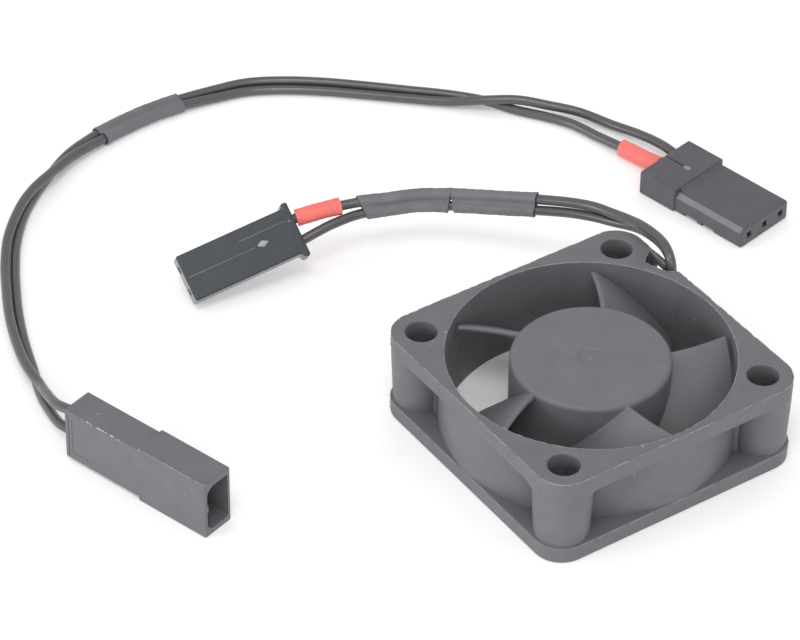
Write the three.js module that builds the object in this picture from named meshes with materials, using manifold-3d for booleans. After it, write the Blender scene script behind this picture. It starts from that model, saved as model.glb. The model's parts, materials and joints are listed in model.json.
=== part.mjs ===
// A 30 x 30 x 10 mm axial cooling fan with its two-wire lead and plug, and the separate
// extension lead that takes it to a three-position servo-type plug.
// Millimetres, +Z up along the rotor's axis, origin at the middle of the fan's underside.

import * as THREE from 'three';
import { mergeVertices } from 'three/addons/utils/BufferGeometryUtils.js';
import Module from 'manifold-3d';

const wasm = await Module();
wasm.setup();

// ---------------------------------------------------------------- driving dimensions

// Fan frame
const FRAME_SIDE = 30;
const FRAME_HEIGHT = 10;
const CORNER_RADIUS = 3;
const TOP_FLANGE = 2;
const BASE_FLANGE = 1.8;
const HOOK_THICKNESS = 0.9;
const HOLE_OFFSET = 12;
const HOLE_RADIUS = 1.6;
const POST_TOP_RADIUS = 3;
const POST_BASE_RADIUS = 2.75;
const WEB_HALF_WIDTH = 2.5;
const DUCT_RADIUS = 14.4;
const DUCT_WALL = 0.57;

// Motor base, struts and bearing tube, moulded with the frame
const BASE_RADIUS = 8.2;
const BASE_TOP = 1.3;
const LABEL_RECESS_RADIUS = 7.4;
const LABEL_RECESS_DEPTH = 0.25;
const TUBE_RADIUS = 1.9;
const TUBE_BORE = 1.4;
const TUBE_TOP = 7;
const BOARD_SEAT_RADIUS = 3;
const BOARD_SEAT_TOP = 1.65;
const STRUT_COUNT = 3;
const WIRE_STRUT_AZIMUTH = 27;
const STRUT_HALF_WIDTH = 0.75;
const STRUT_TOP = 1.2;
const WIRE_STRUT_HALF_WIDTH = 1.8;
const WIRE_STRUT_TOP = 1.7;
const TRENCH_HALF_WIDTH = 1.3;
const TRENCH_FLOOR = 0.45;
const TRENCH_START = 4.2;
const TRENCH_END = 16;
const WALL_SLOT_TOP = 3;
const WALL_SLOT_HALF_WIDTH = 1.6;

// Rotor
const HUB_RADIUS = 8.05;
const HUB_INNER = 7.55;
const HUB_TOP = 9.6;
const HUB_CEILING = 8.9;
const HUB_SKIRT = 2;
const HUB_EDGE = 0.5;
const BOSS_RADIUS = 1.6;
const BOSS_BOTTOM = 7.8;
const DIMPLE_RADIUS = 1.4;
const BLADE_COUNT = 5;
const BLADE_TIP_RADIUS = 13.85;
const BLADE_ROOT_RADIUS = 7.85;
const BLADE_TIP_AZIMUTH = 53.8;
const BLADE_LEAD = 7.5;
const BLADE_SWEEP_ROOT = 52;
const BLADE_SWEEP_TIP = 37;
const BLADE_TOP = 9.1;
const BLADE_BOTTOM = 2.6;
const BLADE_THICKNESS = 0.6;
const SHAFT_RADIUS = 0.75;
const SHAFT_BOTTOM = 1;
const SHAFT_TOP = 9.1;
const CLIP_GROOVE = [1.45, 1.75];

// Stator
const STATOR_AZIMUTH = WIRE_STRUT_AZIMUTH + 45;
const POLE_COUNT = 4;
const CORE_BOTTOM = 3.6;
const CORE_TOP = 6;
const ARM_HALF_WIDTH = 0.7;
const SHOE_INNER = 5.1;
const SHOE_OUTER = 6.1;
const SHOE_HALF_ANGLE = 36;
const INSULATOR_THICKNESS = 0.4;
const BOARD_BOTTOM = 1.7;
const BOARD_TOP = 2.3;
const BOARD_RADIUS = 7;

// Wires, sleeves and connectors
const WIRE_RADIUS = 0.525;
const WIRE_STEP = 2.4;
const PAIR_PITCH = 1.15;
const RED_SLEEVE_RADIUS = 0.9;
const SLEEVE_BORE_GAP = 0.07;
const GREY_SLEEVE_WALL = 0.12;
const CONTACT_PITCH = 2.54;
const CAVITY_WIDTH = 1.7;
const CAVITY_HEIGHT = 1.5;
const PIN_HOLE = 0.9;
const PIN_SIDE = 0.64;

// Fan plug: a two-way housing that lies tilted, with one nose corner on the floor
const FAN_PLUG = { length: 12.95, width: 5.08, thickness: 2.5 };
const FAN_PLUG_CENTRE = [-16.24, 38.69, 3.86];
const FAN_PLUG_TURN = { roll: -41, pitch: 11.4, yaw: 171 };

// Socket housing of the extension lead: stands on its narrow edge
const SOCKET_REAR = { length: 9.65, width: 3.5, height: 6 };
const SOCKET_FRONT = { length: 8.7, width: 3.7, height: 6.7 };
const SOCKET_ORIGIN = [-43.7, 25.53, 3.36];
const SOCKET_YAW = -73.4;
const SOCKET_CAVITY = { depth: 8.3, width: 3, height: 5.3 };

// Servo-type plug: lies flat on the floor
const SERVO_REAR = { length: 4.85, width: 8, height: 2.85 };
const SERVO_FRONT = { length: 9.25, width: 7.6, height: 2.35 };
const SERVO_ORIGIN = [31.6, 29.33, 0];
const SERVO_YAW = -78.2;
const SERVO_WAYS = 3;
const SERVO_AXIS_HEIGHT = 1.25;

// ---------------------------------------------------------------- the leads' routes

// Each row is a point on the middle of a pair of wires, then the distance between the two
// wires, then the azimuth and elevation in degrees of the way from the positive wire to
// the negative one.
const FAN_LEAD_ROUTE = [
  [4.7, 2.4, 1.05, PAIR_PITCH, 117, 0],
  [7.6, 3.9, 1.05, PAIR_PITCH, 117, 0],
  [10.2, 5.2, 1.05, PAIR_PITCH, 117, 0],
  [12.3, 6.2, 1.1, PAIR_PITCH, 116, 0],
  [13.8, 6.7, 1.9, PAIR_PITCH, 112, 0],
  [14.4, 6.8, 3.6, PAIR_PITCH, 112, 0],
  [14.5, 6.85, 5.5, PAIR_PITCH, 95, 0],
  [14.9, 6.85, 7.3, PAIR_PITCH, 70, 0],
  [15.15, 6.93, 9, PAIR_PITCH, 58, 0],
  [15.25, 7.32, 10.2, PAIR_PITCH, 55, -30],
  [15.6, 8.47, 10.6, PAIR_PITCH, 48, -50],
  [15.95, 10.3, 10.55, PAIR_PITCH, 17, -62],
  [15.97, 12.55, 10.35, PAIR_PITCH, -10, -61],
  [15.9, 14.7, 9.8, PAIR_PITCH, -22, -60],
  [15.3, 17, 9.3, PAIR_PITCH, -53, -67],
  [14.4, 19.3, 9, PAIR_PITCH, -95, -70],
  [13, 21.7, 8.6, PAIR_PITCH, -120, -72],
  [11, 24.5, 8, PAIR_PITCH, 232, -62],
  [9, 26.9, 7.5, PAIR_PITCH, 235, -52],
  [6.6, 29.7, 7, PAIR_PITCH, 240, -54],
  [4.5, 31.7, 6.75, PAIR_PITCH, 245, -62],
  [2.2, 33.5, 6.55, PAIR_PITCH, 252, -70],
  [-0.6, 35, 6.25, PAIR_PITCH, 258, -68],
  [-3.4, 36.25, 6.1, 1.25, 266, -56],
  [-6.2, 36.95, 5.85, 1.65, 269, -40],
  [-8.2, 37.33, 5.55, 2.05, 271, -40],
  [-10.24, 37.74, 5.1, 2.47, 271, -40],
  [-11.9, 38, 4.75, CONTACT_PITCH, 271, -40],
];

const EXTENSION_ROUTE = [
  [-43.4, 24.53, 3.36, CONTACT_PITCH, 0, 90],
  [-43.9, 26.25, 3.3, CONTACT_PITCH, 0, 90],
  [-44.15, 28.6, 2.7, 2.2, 0, 90],
  [-43.6, 31.6, 1.9, 1.7, 0, 90],
  [-42.8, 34.6, 1.15, PAIR_PITCH, 0, 90],
  [-41.9, 38.3, 1.05, PAIR_PITCH, 162, 50],
  [-40.6, 42.4, 0.95, PAIR_PITCH, 160, 38],
  [-39, 46.4, 0.9, PAIR_PITCH, 155, 32],
  [-37.2, 50.1, 0.9, PAIR_PITCH, 150, 32],
  [-35.2, 53.8, 0.9, PAIR_PITCH, 148, 32],
  [-32.9, 57.3, 1, PAIR_PITCH, 141, 45],
  [-30, 60.5, 1.15, PAIR_PITCH, 135, 70],
  [-27.2, 62.8, 1.15, PAIR_PITCH, 0, 90],
  [-23.7, 64.9, 1.1, PAIR_PITCH, -62, 55],
  [-20.1, 66.8, 0.95, PAIR_PITCH, -70, 25],
  [-16.3, 67.9, 0.85, PAIR_PITCH, -80, 5],
  [-12.8, 68.5, 0.8, PAIR_PITCH, -85, 0],
  [-8.9, 68.8, 0.8, PAIR_PITCH, -90, 0],
  [-5.2, 68.6, 0.8, PAIR_PITCH, -92, 0],
  [-1.5, 68, 0.77, PAIR_PITCH, -100, -10],
  [2.5, 67, 0.8, PAIR_PITCH, -115, -20],
  [6.2, 64.95, 0.8, PAIR_PITCH, -122, -22],
  [9.7, 62.3, 0.8, PAIR_PITCH, -130, -22],
  [13.2, 59.15, 0.8, PAIR_PITCH, -133, -20],
  [16.6, 56, 0.8, PAIR_PITCH, -133, -15],
  [19.8, 53, 0.85, PAIR_PITCH, -133, -5],
  [22.6, 50.2, 1.1, PAIR_PITCH, -133, 38],
  [25.1, 47.5, 1.12, 1.2, 44, 75],
  [27.3, 44.9, 1, 1.3, 40, 40],
  [29.3, 42.25, 0.83, 1.95, 32, 10],
  [30.7, 38.8, 0.7, 2.7, 20, 0],
  [31.63, 35.5, 1, 2.95, 15, 3],
  [32.31, 32.3, 1.25, 2.9, 14.5, 5],
  [32.86, 29.45, SERVO_AXIS_HEIGHT, CONTACT_PITCH, 11.8, 0],
  [33.18, 27.95, SERVO_AXIS_HEIGHT, CONTACT_PITCH, 11.8, 0],
];

// ---------------------------------------------------------------- materials

function plastic(red, green, blue, roughness) {
  const color = new THREE.Color().setRGB(red, green, blue, THREE.SRGBColorSpace);
  return new THREE.MeshStandardMaterial({ color, roughness, metalness: 0 });
}

function metal(red, green, blue, roughness) {
  const color = new THREE.Color().setRGB(red, green, blue, THREE.SRGBColorSpace);
  return new THREE.MeshStandardMaterial({ color, roughness, metalness: 1 });
}

const FRAME_PLASTIC = () => plastic(0.26, 0.26, 0.28, 0.55);
const ROTOR_PLASTIC = () => plastic(0.29, 0.29, 0.31, 0.5);
const PLUG_PLASTIC = () => plastic(0.22, 0.24, 0.25, 0.5);
const WIRE_JACKET = () => plastic(0.25, 0.24, 0.25, 0.5);
const GREY_TUBING = () => plastic(0.3, 0.3, 0.32, 0.6);
const RED_TUBING = () => plastic(0.92, 0.28, 0.26, 0.5);
const LABEL_FILM = () => plastic(0.75, 0.76, 0.77, 0.4);
const BOARD_LAMINATE = () => plastic(0.12, 0.3, 0.17, 0.5);
const WHITE_NYLON = () => plastic(0.88, 0.87, 0.83, 0.5);
const CHIP_EPOXY = () => plastic(0.06, 0.06, 0.07, 0.6);
const CERAMIC = () => plastic(0.62, 0.5, 0.36, 0.5);
const STEEL = () => metal(0.66, 0.66, 0.68, 0.3);
const LAMINATED_STEEL = () => metal(0.45, 0.45, 0.47, 0.45);
const BRONZE = () => metal(0.65, 0.5, 0.3, 0.45);
const COPPER = () => metal(0.8, 0.42, 0.24, 0.35);
const MAGNET = () => metal(0.2, 0.2, 0.21, 0.6);
const TIN = () => metal(0.8, 0.8, 0.8, 0.3);
const GOLD = () => metal(0.85, 0.68, 0.34, 0.3);

// ---------------------------------------------------------------- geometry helpers

const radians = THREE.MathUtils.degToRad;
const FULL_TURN = 2 * Math.PI;

// The geometry's welded vertices and its triangles, with the triangles facing outwards.
function closedSurface(geometry) {
  const bare = new THREE.BufferGeometry();
  bare.setAttribute('position', geometry.getAttribute('position').clone());
  if (geometry.index) {
    bare.setIndex(geometry.index.clone());
  }
  const welded = mergeVertices(bare, 1e-4);
  const vertices = welded.getAttribute('position').array;
  const corners = welded.index.array;
  const triangles = [];
  let volume = 0;
  const at = (index) => new THREE.Vector3().fromArray(vertices, 3 * index);
  for (let i = 0; i < corners.length; i += 3) {
    const [a, b, c] = corners.slice(i, i + 3);
    if (a !== b && b !== c && c !== a) {
      triangles.push([a, b, c]);
      volume += at(a).dot(at(b).cross(at(c)));
    }
  }
  const facing = volume > 0 ? triangles : triangles.map(([a, b, c]) => [a, c, b]);
  return { vertices, triangles: facing.flat() };
}

function asGeometry({ vertices, triangles }) {
  const geometry = new THREE.BufferGeometry();
  geometry.setAttribute('position', new THREE.Float32BufferAttribute(vertices, 3));
  geometry.setIndex(triangles);
  geometry.computeVertexNormals();
  return geometry;
}

function solidOf(geometry) {
  const { vertices, triangles } = closedSurface(geometry);
  const mesh = new wasm.Mesh({
    numProp: 3,
    vertProperties: new Float32Array(vertices),
    triVerts: new Uint32Array(triangles),
  });
  return new wasm.Manifold(mesh);
}

function geometryOf(solid) {
  const mesh = solid.getMesh();
  return asGeometry({ vertices: Array.from(mesh.vertProperties), triangles: Array.from(mesh.triVerts) });
}

// The first list of geometries joined into one, with the second list cut away.
function carved(added, removed = []) {
  const whole = added.map(solidOf).reduce((joined, solid) => joined.add(solid));
  const cut = removed.map(solidOf).reduce((left, solid) => left.subtract(solid), whole);
  return geometryOf(cut);
}

// A solid of revolution about Z, from a closed profile of [radius, height] points.
function turned(profile, segments) {
  const points = profile.map(([radius, height]) => new THREE.Vector2(radius, height));
  return new THREE.LatheGeometry(points, segments).rotateX(Math.PI / 2);
}

// A ring of rectangular section about Z.
function ring(inner, outer, bottom, top, segments) {
  const profile = [[inner, bottom], [outer, bottom], [outer, top], [inner, top], [inner, bottom]];
  return turned(profile, segments);
}

// A round bar along Z, which may taper to another radius at its top.
function bar(radius, bottom, top, segments, topRadius = radius) {
  const height = top - bottom;
  const cylinder = new THREE.CylinderGeometry(topRadius, radius, height, segments);
  return cylinder.rotateX(Math.PI / 2).translate(0, 0, bottom + height / 2);
}

// A box between two corners.
function block([x0, y0, z0], [x1, y1, z1]) {
  const box = new THREE.BoxGeometry(x1 - x0, y1 - y0, z1 - z0);
  return box.translate((x0 + x1) / 2, (y0 + y1) / 2, (z0 + z1) / 2);
}

// A flat shape given thickness between two heights.
function plate(shape, bottom, top, curveSegments = 8) {
  const extrusion = new THREE.ExtrudeGeometry(shape, {
    depth: top - bottom,
    bevelEnabled: false,
    curveSegments,
  });
  return extrusion.translate(0, 0, bottom);
}

function roundedRectangle(width, height, radius) {
  const x = width / 2 - radius;
  const y = height / 2 - radius;
  const shape = new THREE.Shape();
  shape.absarc(x, y, radius, 0, Math.PI / 2);
  shape.absarc(-x, y, radius, Math.PI / 2, Math.PI);
  shape.absarc(-x, -y, radius, Math.PI, 1.5 * Math.PI);
  shape.absarc(x, -y, radius, 1.5 * Math.PI, FULL_TURN);
  shape.closePath();
  return shape;
}

function polygon(points) {
  return new THREE.Shape(points.map(([x, y]) => new THREE.Vector2(x, y)));
}

// A box that runs outwards from the axis along an azimuth, between two distances from it.
function radialBlock(azimuth, inner, outer, halfWidth, bottom, top) {
  const box = block([inner, -halfWidth, bottom], [outer, halfWidth, top]);
  return box.rotateZ(radians(azimuth));
}

// ---------------------------------------------------------------- the fan's frame

// The notch in the top flange that the lead leaves through. The thin strip of flange left
// outside it is the hook that keeps the wires in.
function wireNotch() {
  const outline = [
    [12.97, 8.71],
    [13.72, 6.75],
    [13.95, 6.35],
    [16, 4.7],
    [16, 7.25],
    [14.5, 7.25],
    [14.6, 9.99],
  ];
  return plate(polygon(outline), FRAME_HEIGHT - TOP_FLANGE - 0.5, FRAME_HEIGHT + 1);
}

function fanFrame() {
  const flange = roundedRectangle(FRAME_SIDE, FRAME_SIDE, CORNER_RADIUS);
  const shell = [
    plate(flange, FRAME_HEIGHT - TOP_FLANGE, FRAME_HEIGHT, 6),
    plate(flange, 0, BASE_FLANGE, 6),
    bar(DUCT_RADIUS + DUCT_WALL, 0, FRAME_HEIGHT, 60),
  ];
  const openings = [bar(DUCT_RADIUS, -1, FRAME_HEIGHT + 1, 60)];
  const postDistance = HOLE_OFFSET * Math.SQRT2;
  for (const azimuth of [45, 135, 225, 315]) {
    const post = bar(POST_BASE_RADIUS, 0.5, FRAME_HEIGHT - 0.5, 24, POST_TOP_RADIUS);
    const hole = bar(HOLE_RADIUS, -1, FRAME_HEIGHT + 1, 20);
    const x = Math.cos(radians(azimuth)) * postDistance;
    const y = Math.sin(radians(azimuth)) * postDistance;
    shell.push(post.translate(x, y, 0));
    const web = [DUCT_RADIUS + 0.2, postDistance];
    shell.push(radialBlock(azimuth, ...web, WEB_HALF_WIDTH, 1, FRAME_HEIGHT - 1));
    openings.push(hole.translate(x, y, 0));
  }
  const housing = carved(shell, openings);

  const base = [
    housing,
    bar(BASE_RADIUS, 0, BASE_TOP, 48),
    bar(BOARD_SEAT_RADIUS, 0.5, BOARD_SEAT_TOP, 24),
    bar(TUBE_RADIUS, 0.5, TUBE_TOP, 24),
  ];
  for (let i = 0; i < STRUT_COUNT; i += 1) {
    const azimuth = WIRE_STRUT_AZIMUTH + (360 / STRUT_COUNT) * i;
    const halfWidth = i === 0 ? WIRE_STRUT_HALF_WIDTH : STRUT_HALF_WIDTH;
    const top = i === 0 ? WIRE_STRUT_TOP : STRUT_TOP;
    base.push(radialBlock(azimuth, BASE_RADIUS - 0.6, DUCT_RADIUS + 0.3, halfWidth, 0, top));
  }
  const trench = [TRENCH_START, TRENCH_END, TRENCH_HALF_WIDTH, TRENCH_FLOOR];
  const wallSlot = [DUCT_RADIUS - 0.4, TRENCH_END, WALL_SLOT_HALF_WIDTH, TRENCH_FLOOR];
  const cuts = [
    bar(LABEL_RECESS_RADIUS, -1, LABEL_RECESS_DEPTH, 40),
    bar(TUBE_BORE, -1, TUBE_TOP + 1, 24),
    radialBlock(WIRE_STRUT_AZIMUTH, ...trench, WIRE_STRUT_TOP + 0.05),
    radialBlock(WIRE_STRUT_AZIMUTH, ...wallSlot, WALL_SLOT_TOP),
    wireNotch(),
    block([14.3, 7.2, FRAME_HEIGHT - TOP_FLANGE - 0.5], [16, 9, FRAME_HEIGHT - HOOK_THICKNESS]),
  ];
  return carved(base, cuts);
}

// ---------------------------------------------------------------- rotor

// One blade: a skewed helical plate from the hub to the tip. Span runs from 0 at the root
// to 1 at the tip, and sweep from 0 at the high leading edge to 1 at the low trailing edge.
function bladePoint(span, sweep) {
  const radius = BLADE_ROOT_RADIUS + span * (BLADE_TIP_RADIUS - BLADE_ROOT_RADIUS);
  const turn = BLADE_SWEEP_ROOT + span * (BLADE_SWEEP_TIP - BLADE_SWEEP_ROOT);
  const azimuth = BLADE_TIP_AZIMUTH - BLADE_LEAD * (1 - span) - turn * sweep;
  const height = BLADE_TOP - (BLADE_TOP - BLADE_BOTTOM) * sweep ** 1.1;
  const angle = radians(azimuth);
  return new THREE.Vector3(radius * Math.cos(angle), radius * Math.sin(angle), height);
}

function blade() {
  const spanSteps = 3;
  const sweepSteps = 8;
  const nudge = 0.01;
  const vertices = [];
  for (const side of [0.5, -0.5]) {
    for (let i = 0; i <= spanSteps; i += 1) {
      for (let j = 0; j <= sweepSteps; j += 1) {
        const span = i / spanSteps;
        const sweep = j / sweepSteps;
        const point = bladePoint(span, sweep);
        const alongSpan = bladePoint(span + nudge, sweep).sub(point);
        const alongSweep = bladePoint(span, sweep + nudge).sub(point);
        const normal = alongSweep.cross(alongSpan).normalize();
        vertices.push(...point.addScaledVector(normal, side * BLADE_THICKNESS).toArray());
      }
    }
  }
  const row = sweepSteps + 1;
  const sheet = row * (spanSteps + 1);
  const triangles = [];
  const quad = (a, b, c, d) => triangles.push(a, b, c, a, c, d);
  for (let i = 0; i < spanSteps; i += 1) {
    for (let j = 0; j < sweepSteps; j += 1) {
      const corner = i * row + j;
      quad(corner, corner + 1, corner + row + 1, corner + row);
      quad(sheet + corner, sheet + corner + row, sheet + corner + row + 1, sheet + corner + 1);
    }
  }
  const rim = [];
  for (let j = 0; j < sweepSteps; j += 1) {
    rim.push(j);
  }
  for (let i = 0; i < spanSteps; i += 1) {
    rim.push(i * row + sweepSteps);
  }
  for (let j = sweepSteps; j > 0; j -= 1) {
    rim.push(spanSteps * row + j);
  }
  for (let i = spanSteps; i > 0; i -= 1) {
    rim.push(i * row);
  }
  rim.forEach((from, index) => {
    const to = rim[(index + 1) % rim.length];
    quad(to, from, sheet + from, sheet + to);
  });
  return asGeometry(closedSurface(asGeometry({ vertices, triangles })));
}

function impeller() {
  const boreTop = SHAFT_TOP + 0.06;
  const boreRadius = SHAFT_RADIUS + 0.05;
  const bevel = HUB_EDGE * 0.3;
  const hub = turned([
    [0, HUB_TOP - 0.06],
    [0.35, HUB_TOP - 0.12],
    [DIMPLE_RADIUS - 0.12, HUB_TOP - 0.12],
    [DIMPLE_RADIUS, HUB_TOP],
    [HUB_RADIUS - HUB_EDGE, HUB_TOP],
    [HUB_RADIUS - bevel, HUB_TOP - bevel],
    [HUB_RADIUS, HUB_TOP - HUB_EDGE],
    [HUB_RADIUS, HUB_SKIRT],
    [HUB_INNER, HUB_SKIRT],
    [HUB_INNER, HUB_CEILING],
    [BOSS_RADIUS, HUB_CEILING],
    [BOSS_RADIUS, BOSS_BOTTOM],
    [boreRadius, BOSS_BOTTOM],
    [boreRadius, boreTop],
    [0, boreTop],
  ], 52);
  const blades = [];
  for (let i = 0; i < BLADE_COUNT; i += 1) {
    blades.push(blade().rotateZ((FULL_TURN / BLADE_COUNT) * i));
  }
  return carved([hub, ...blades]);
}

function rotorShaft() {
  const [grooveBottom, grooveTop] = CLIP_GROOVE;
  const neck = 0.5;
  return turned([
    [0, SHAFT_BOTTOM],
    [neck, SHAFT_BOTTOM],
    [SHAFT_RADIUS, SHAFT_BOTTOM + 0.2],
    [SHAFT_RADIUS, grooveBottom],
    [neck, grooveBottom],
    [neck, grooveTop],
    [SHAFT_RADIUS, grooveTop],
    [SHAFT_RADIUS, SHAFT_TOP],
    [0, SHAFT_TOP],
  ], 20);
}

// ---------------------------------------------------------------- stator and board

// A flat sector of a ring, centred on an azimuth.
function sector(inner, outer, azimuth, halfAngle, bottom, top) {
  const from = radians(azimuth - halfAngle);
  const to = radians(azimuth + halfAngle);
  const shape = new THREE.Shape();
  shape.absarc(0, 0, outer, from, to, false);
  shape.absarc(0, 0, inner, to, from, true);
  shape.closePath();
  return plate(shape, bottom, top, 5);
}

// The cross of arms and curved shoes that the core and both insulators share.
function poleStack(ringRadius, armHalfWidth, shoeInner, shoeOuter, bottom, top) {
  const added = [bar(ringRadius, bottom, top, 24)];
  for (let i = 0; i < POLE_COUNT; i += 1) {
    const azimuth = STATOR_AZIMUTH + (360 / POLE_COUNT) * i;
    added.push(radialBlock(azimuth, 0.5, shoeInner + 0.3, armHalfWidth, bottom, top));
    added.push(sector(shoeInner, shoeOuter, azimuth, SHOE_HALF_ANGLE, bottom, top));
  }
  const bore = bar(TUBE_RADIUS + 0.08, bottom - 1, top + 1, 24);
  return carved(added, [bore]);
}

// A winding: a rounded rectangular loop round one arm.
function coil(index) {
  const opening = { halfWidth: 1, height: 3.5 };
  const outer = { halfWidth: 1.75, height: 4.7 };
  const shape = roundedRectangle(2 * outer.halfWidth, outer.height, 0.7);
  shape.holes.push(roundedRectangle(2 * opening.halfWidth, opening.height, 0.15));
  const start = 3.35;
  const loop = plate(shape, start, SHOE_INNER - 0.4, 2);
  const tangent = new THREE.Vector3(0, 1, 0);
  const upward = new THREE.Vector3(0, 0, 1);
  const outward = new THREE.Vector3(1, 0, 0);
  loop.applyMatrix4(new THREE.Matrix4().makeBasis(tangent, upward, outward));
  loop.translate(0, 0, (CORE_BOTTOM + CORE_TOP) / 2);
  return loop.rotateZ(radians(STATOR_AZIMUTH + (360 / POLE_COUNT) * index));
}

function circuitBoard() {
  const blank = ring(TUBE_RADIUS + 0.3, BOARD_RADIUS, BOARD_BOTTOM, BOARD_TOP, 48);
  const flat = radialBlock(WIRE_STRUT_AZIMUTH, BOARD_RADIUS - 0.5, BOARD_RADIUS + 1, 3, 1, 3);
  return carved([blank], [flat]);
}

function solderJoint(side) {
  const radius = 0.32;
  const profile = [
    [0, 0.75],
    [radius * 0.7, 0.85],
    [radius, 1.15],
    [radius, BOARD_BOTTOM - 0.05],
    [0, BOARD_BOTTOM - 0.05],
  ];
  const joint = turned(profile, 12);
  return joint.translate(4.75, side * PAIR_PITCH / 2, 0).rotateZ(radians(WIRE_STRUT_AZIMUTH));
}

// ---------------------------------------------------------------- wires and sleeves

// The control points of one wire of a pair: side is 1 for negative, -1 for positive.
function wirePoints(route, side) {
  const centres = route.map(([x, y, z]) => new THREE.Vector3(x, y, z));
  return route.map(([, , , spread, azimuth, elevation], index) => {
    const before = centres[Math.max(index - 1, 0)];
    const after = centres[Math.min(index + 1, centres.length - 1)];
    const along = after.clone().sub(before).normalize();
    const flat = Math.cos(radians(elevation));
    const across = new THREE.Vector3(
      flat * Math.cos(radians(azimuth)),
      flat * Math.sin(radians(azimuth)),
      Math.sin(radians(elevation)),
    );
    across.addScaledVector(along, -across.dot(along)).normalize();
    return centres[index].clone().addScaledVector(across, (side * spread) / 2);
  });
}

function wireCurve(route, side) {
  return new THREE.CatmullRomCurve3(wirePoints(route, side), false, 'catmullrom', 0.5);
}

function circleOutline(radius, sides) {
  const points = [];
  for (let i = 0; i < sides; i += 1) {
    const angle = (FULL_TURN * i) / sides;
    points.push([radius * Math.cos(angle), radius * Math.sin(angle)]);
  }
  return points;
}

function wire(route, side) {
  const path = wireCurve(route, side);
  const steps = Math.round(path.getLength() / WIRE_STEP);
  const section = polygon(circleOutline(WIRE_RADIUS, 8));
  return new THREE.ExtrudeGeometry(section, { steps, extrudePath: path });
}

// The stretch of a curve between two distances from its start.
function stretch(path, from, to, count) {
  const length = path.getLength();
  const points = [];
  for (let i = 0; i <= count; i += 1) {
    points.push(path.getPointAt((from + ((to - from) * i) / count) / length));
  }
  return new THREE.CatmullRomCurve3(points);
}

// A short round sleeve on one wire, between two distances from the wire's end.
function redSleeve(route, nearEnd, farEnd) {
  const path = wireCurve(route, -1);
  const length = path.getLength();
  const part = stretch(path, length - farEnd, length - nearEnd, 5);
  const section = polygon(circleOutline(RED_SLEEVE_RADIUS, 10));
  const bore = circleOutline(WIRE_RADIUS + SLEEVE_BORE_GAP, 10).map(([x, y]) => new THREE.Vector2(x, y));
  section.holes.push(new THREE.Path(bore));
  return new THREE.ExtrudeGeometry(section, { steps: 4, extrudePath: part });
}

// A flattened sleeve round both wires of a pair, between two shares of the wires' length.
function greySleeve(route, from, to) {
  const negative = wireCurve(route, 1);
  const positive = wireCurve(route, -1);
  const steps = 6;
  const arcSteps = 4;
  const bore = WIRE_RADIUS + SLEEVE_BORE_GAP;
  const outlines = [bore + GREY_SLEEVE_WALL, bore];
  const count = 2 * (arcSteps + 1);
  const vertices = [];
  const frameAt = (share) => {
    const a = negative.getPoint(share);
    const b = positive.getPoint(share);
    const along = negative.getTangent(share);
    const across = a.clone().sub(b);
    const half = across.length() / 2;
    across.addScaledVector(along, -across.dot(along)).normalize();
    const upward = along.clone().cross(across);
    return { middle: a.add(b).multiplyScalar(0.5), across, upward, half };
  };
  for (let i = 0; i <= steps; i += 1) {
    const { middle, across, upward, half } = frameAt(from + ((to - from) * i) / steps);
    for (const radius of outlines) {
      for (const end of [0, 1]) {
        for (let j = 0; j <= arcSteps; j += 1) {
          const angle = Math.PI * (j / arcSteps + end - 0.5);
          const shift = end === 0 ? half : -half;
          const point = middle.clone();
          point.addScaledVector(across, shift + radius * Math.cos(angle));
          point.addScaledVector(upward, radius * Math.sin(angle));
          vertices.push(...point.toArray());
        }
      }
    }
  }
  const triangles = [];
  const quad = (a, b, c, d) => triangles.push(a, b, c, a, c, d);
  const stationSize = 2 * count;
  for (let j = 0; j < count; j += 1) {
    const next = (j + 1) % count;
    for (let i = 0; i < steps; i += 1) {
      const here = i * stationSize;
      const there = here + stationSize;
      quad(here + j, here + next, there + next, there + j);
      quad(here + count + j, there + count + j, there + count + next, here + count + next);
    }
    const last = steps * stationSize;
    quad(j, count + j, count + next, next);
    quad(last + j, last + next, last + count + next, last + count + j);
  }
  return asGeometry(closedSurface(asGeometry({ vertices, triangles })));
}

// ---------------------------------------------------------------- connectors

// Connector pieces are drawn with +X from the rear, where the wires enter, to the front.

// The space for one contact: a wide cavity open at the rear and a small hole at the front.
function contactCavity(rear, shoulder, front, y, z) {
  const halfWidth = CAVITY_WIDTH / 2;
  const halfHeight = CAVITY_HEIGHT / 2;
  const half = PIN_HOLE / 2;
  return [
    block([rear, y - halfWidth, z - halfHeight], [shoulder, y + halfWidth, z + halfHeight]),
    block([shoulder - 0.5, y - half, z - half], [front, y + half, z + half]),
  ];
}

// A crimped socket contact: the barrel that grips the wire's end and the square box for a pin.
function socketContact(start, end) {
  const barrelEnd = start + 2.2;
  const boxHalf = 0.75;
  const body = [
    block([start, -0.6, -0.55], [barrelEnd, 0.6, 0.55]),
    block([barrelEnd - 0.4, -boxHalf, -0.7], [end, boxHalf, 0.7]),
  ];
  const mouth = block([end - 3.5, -0.4, -0.4], [end + 1, 0.4, 0.4]);
  return carved(body, [mouth]);
}

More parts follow.
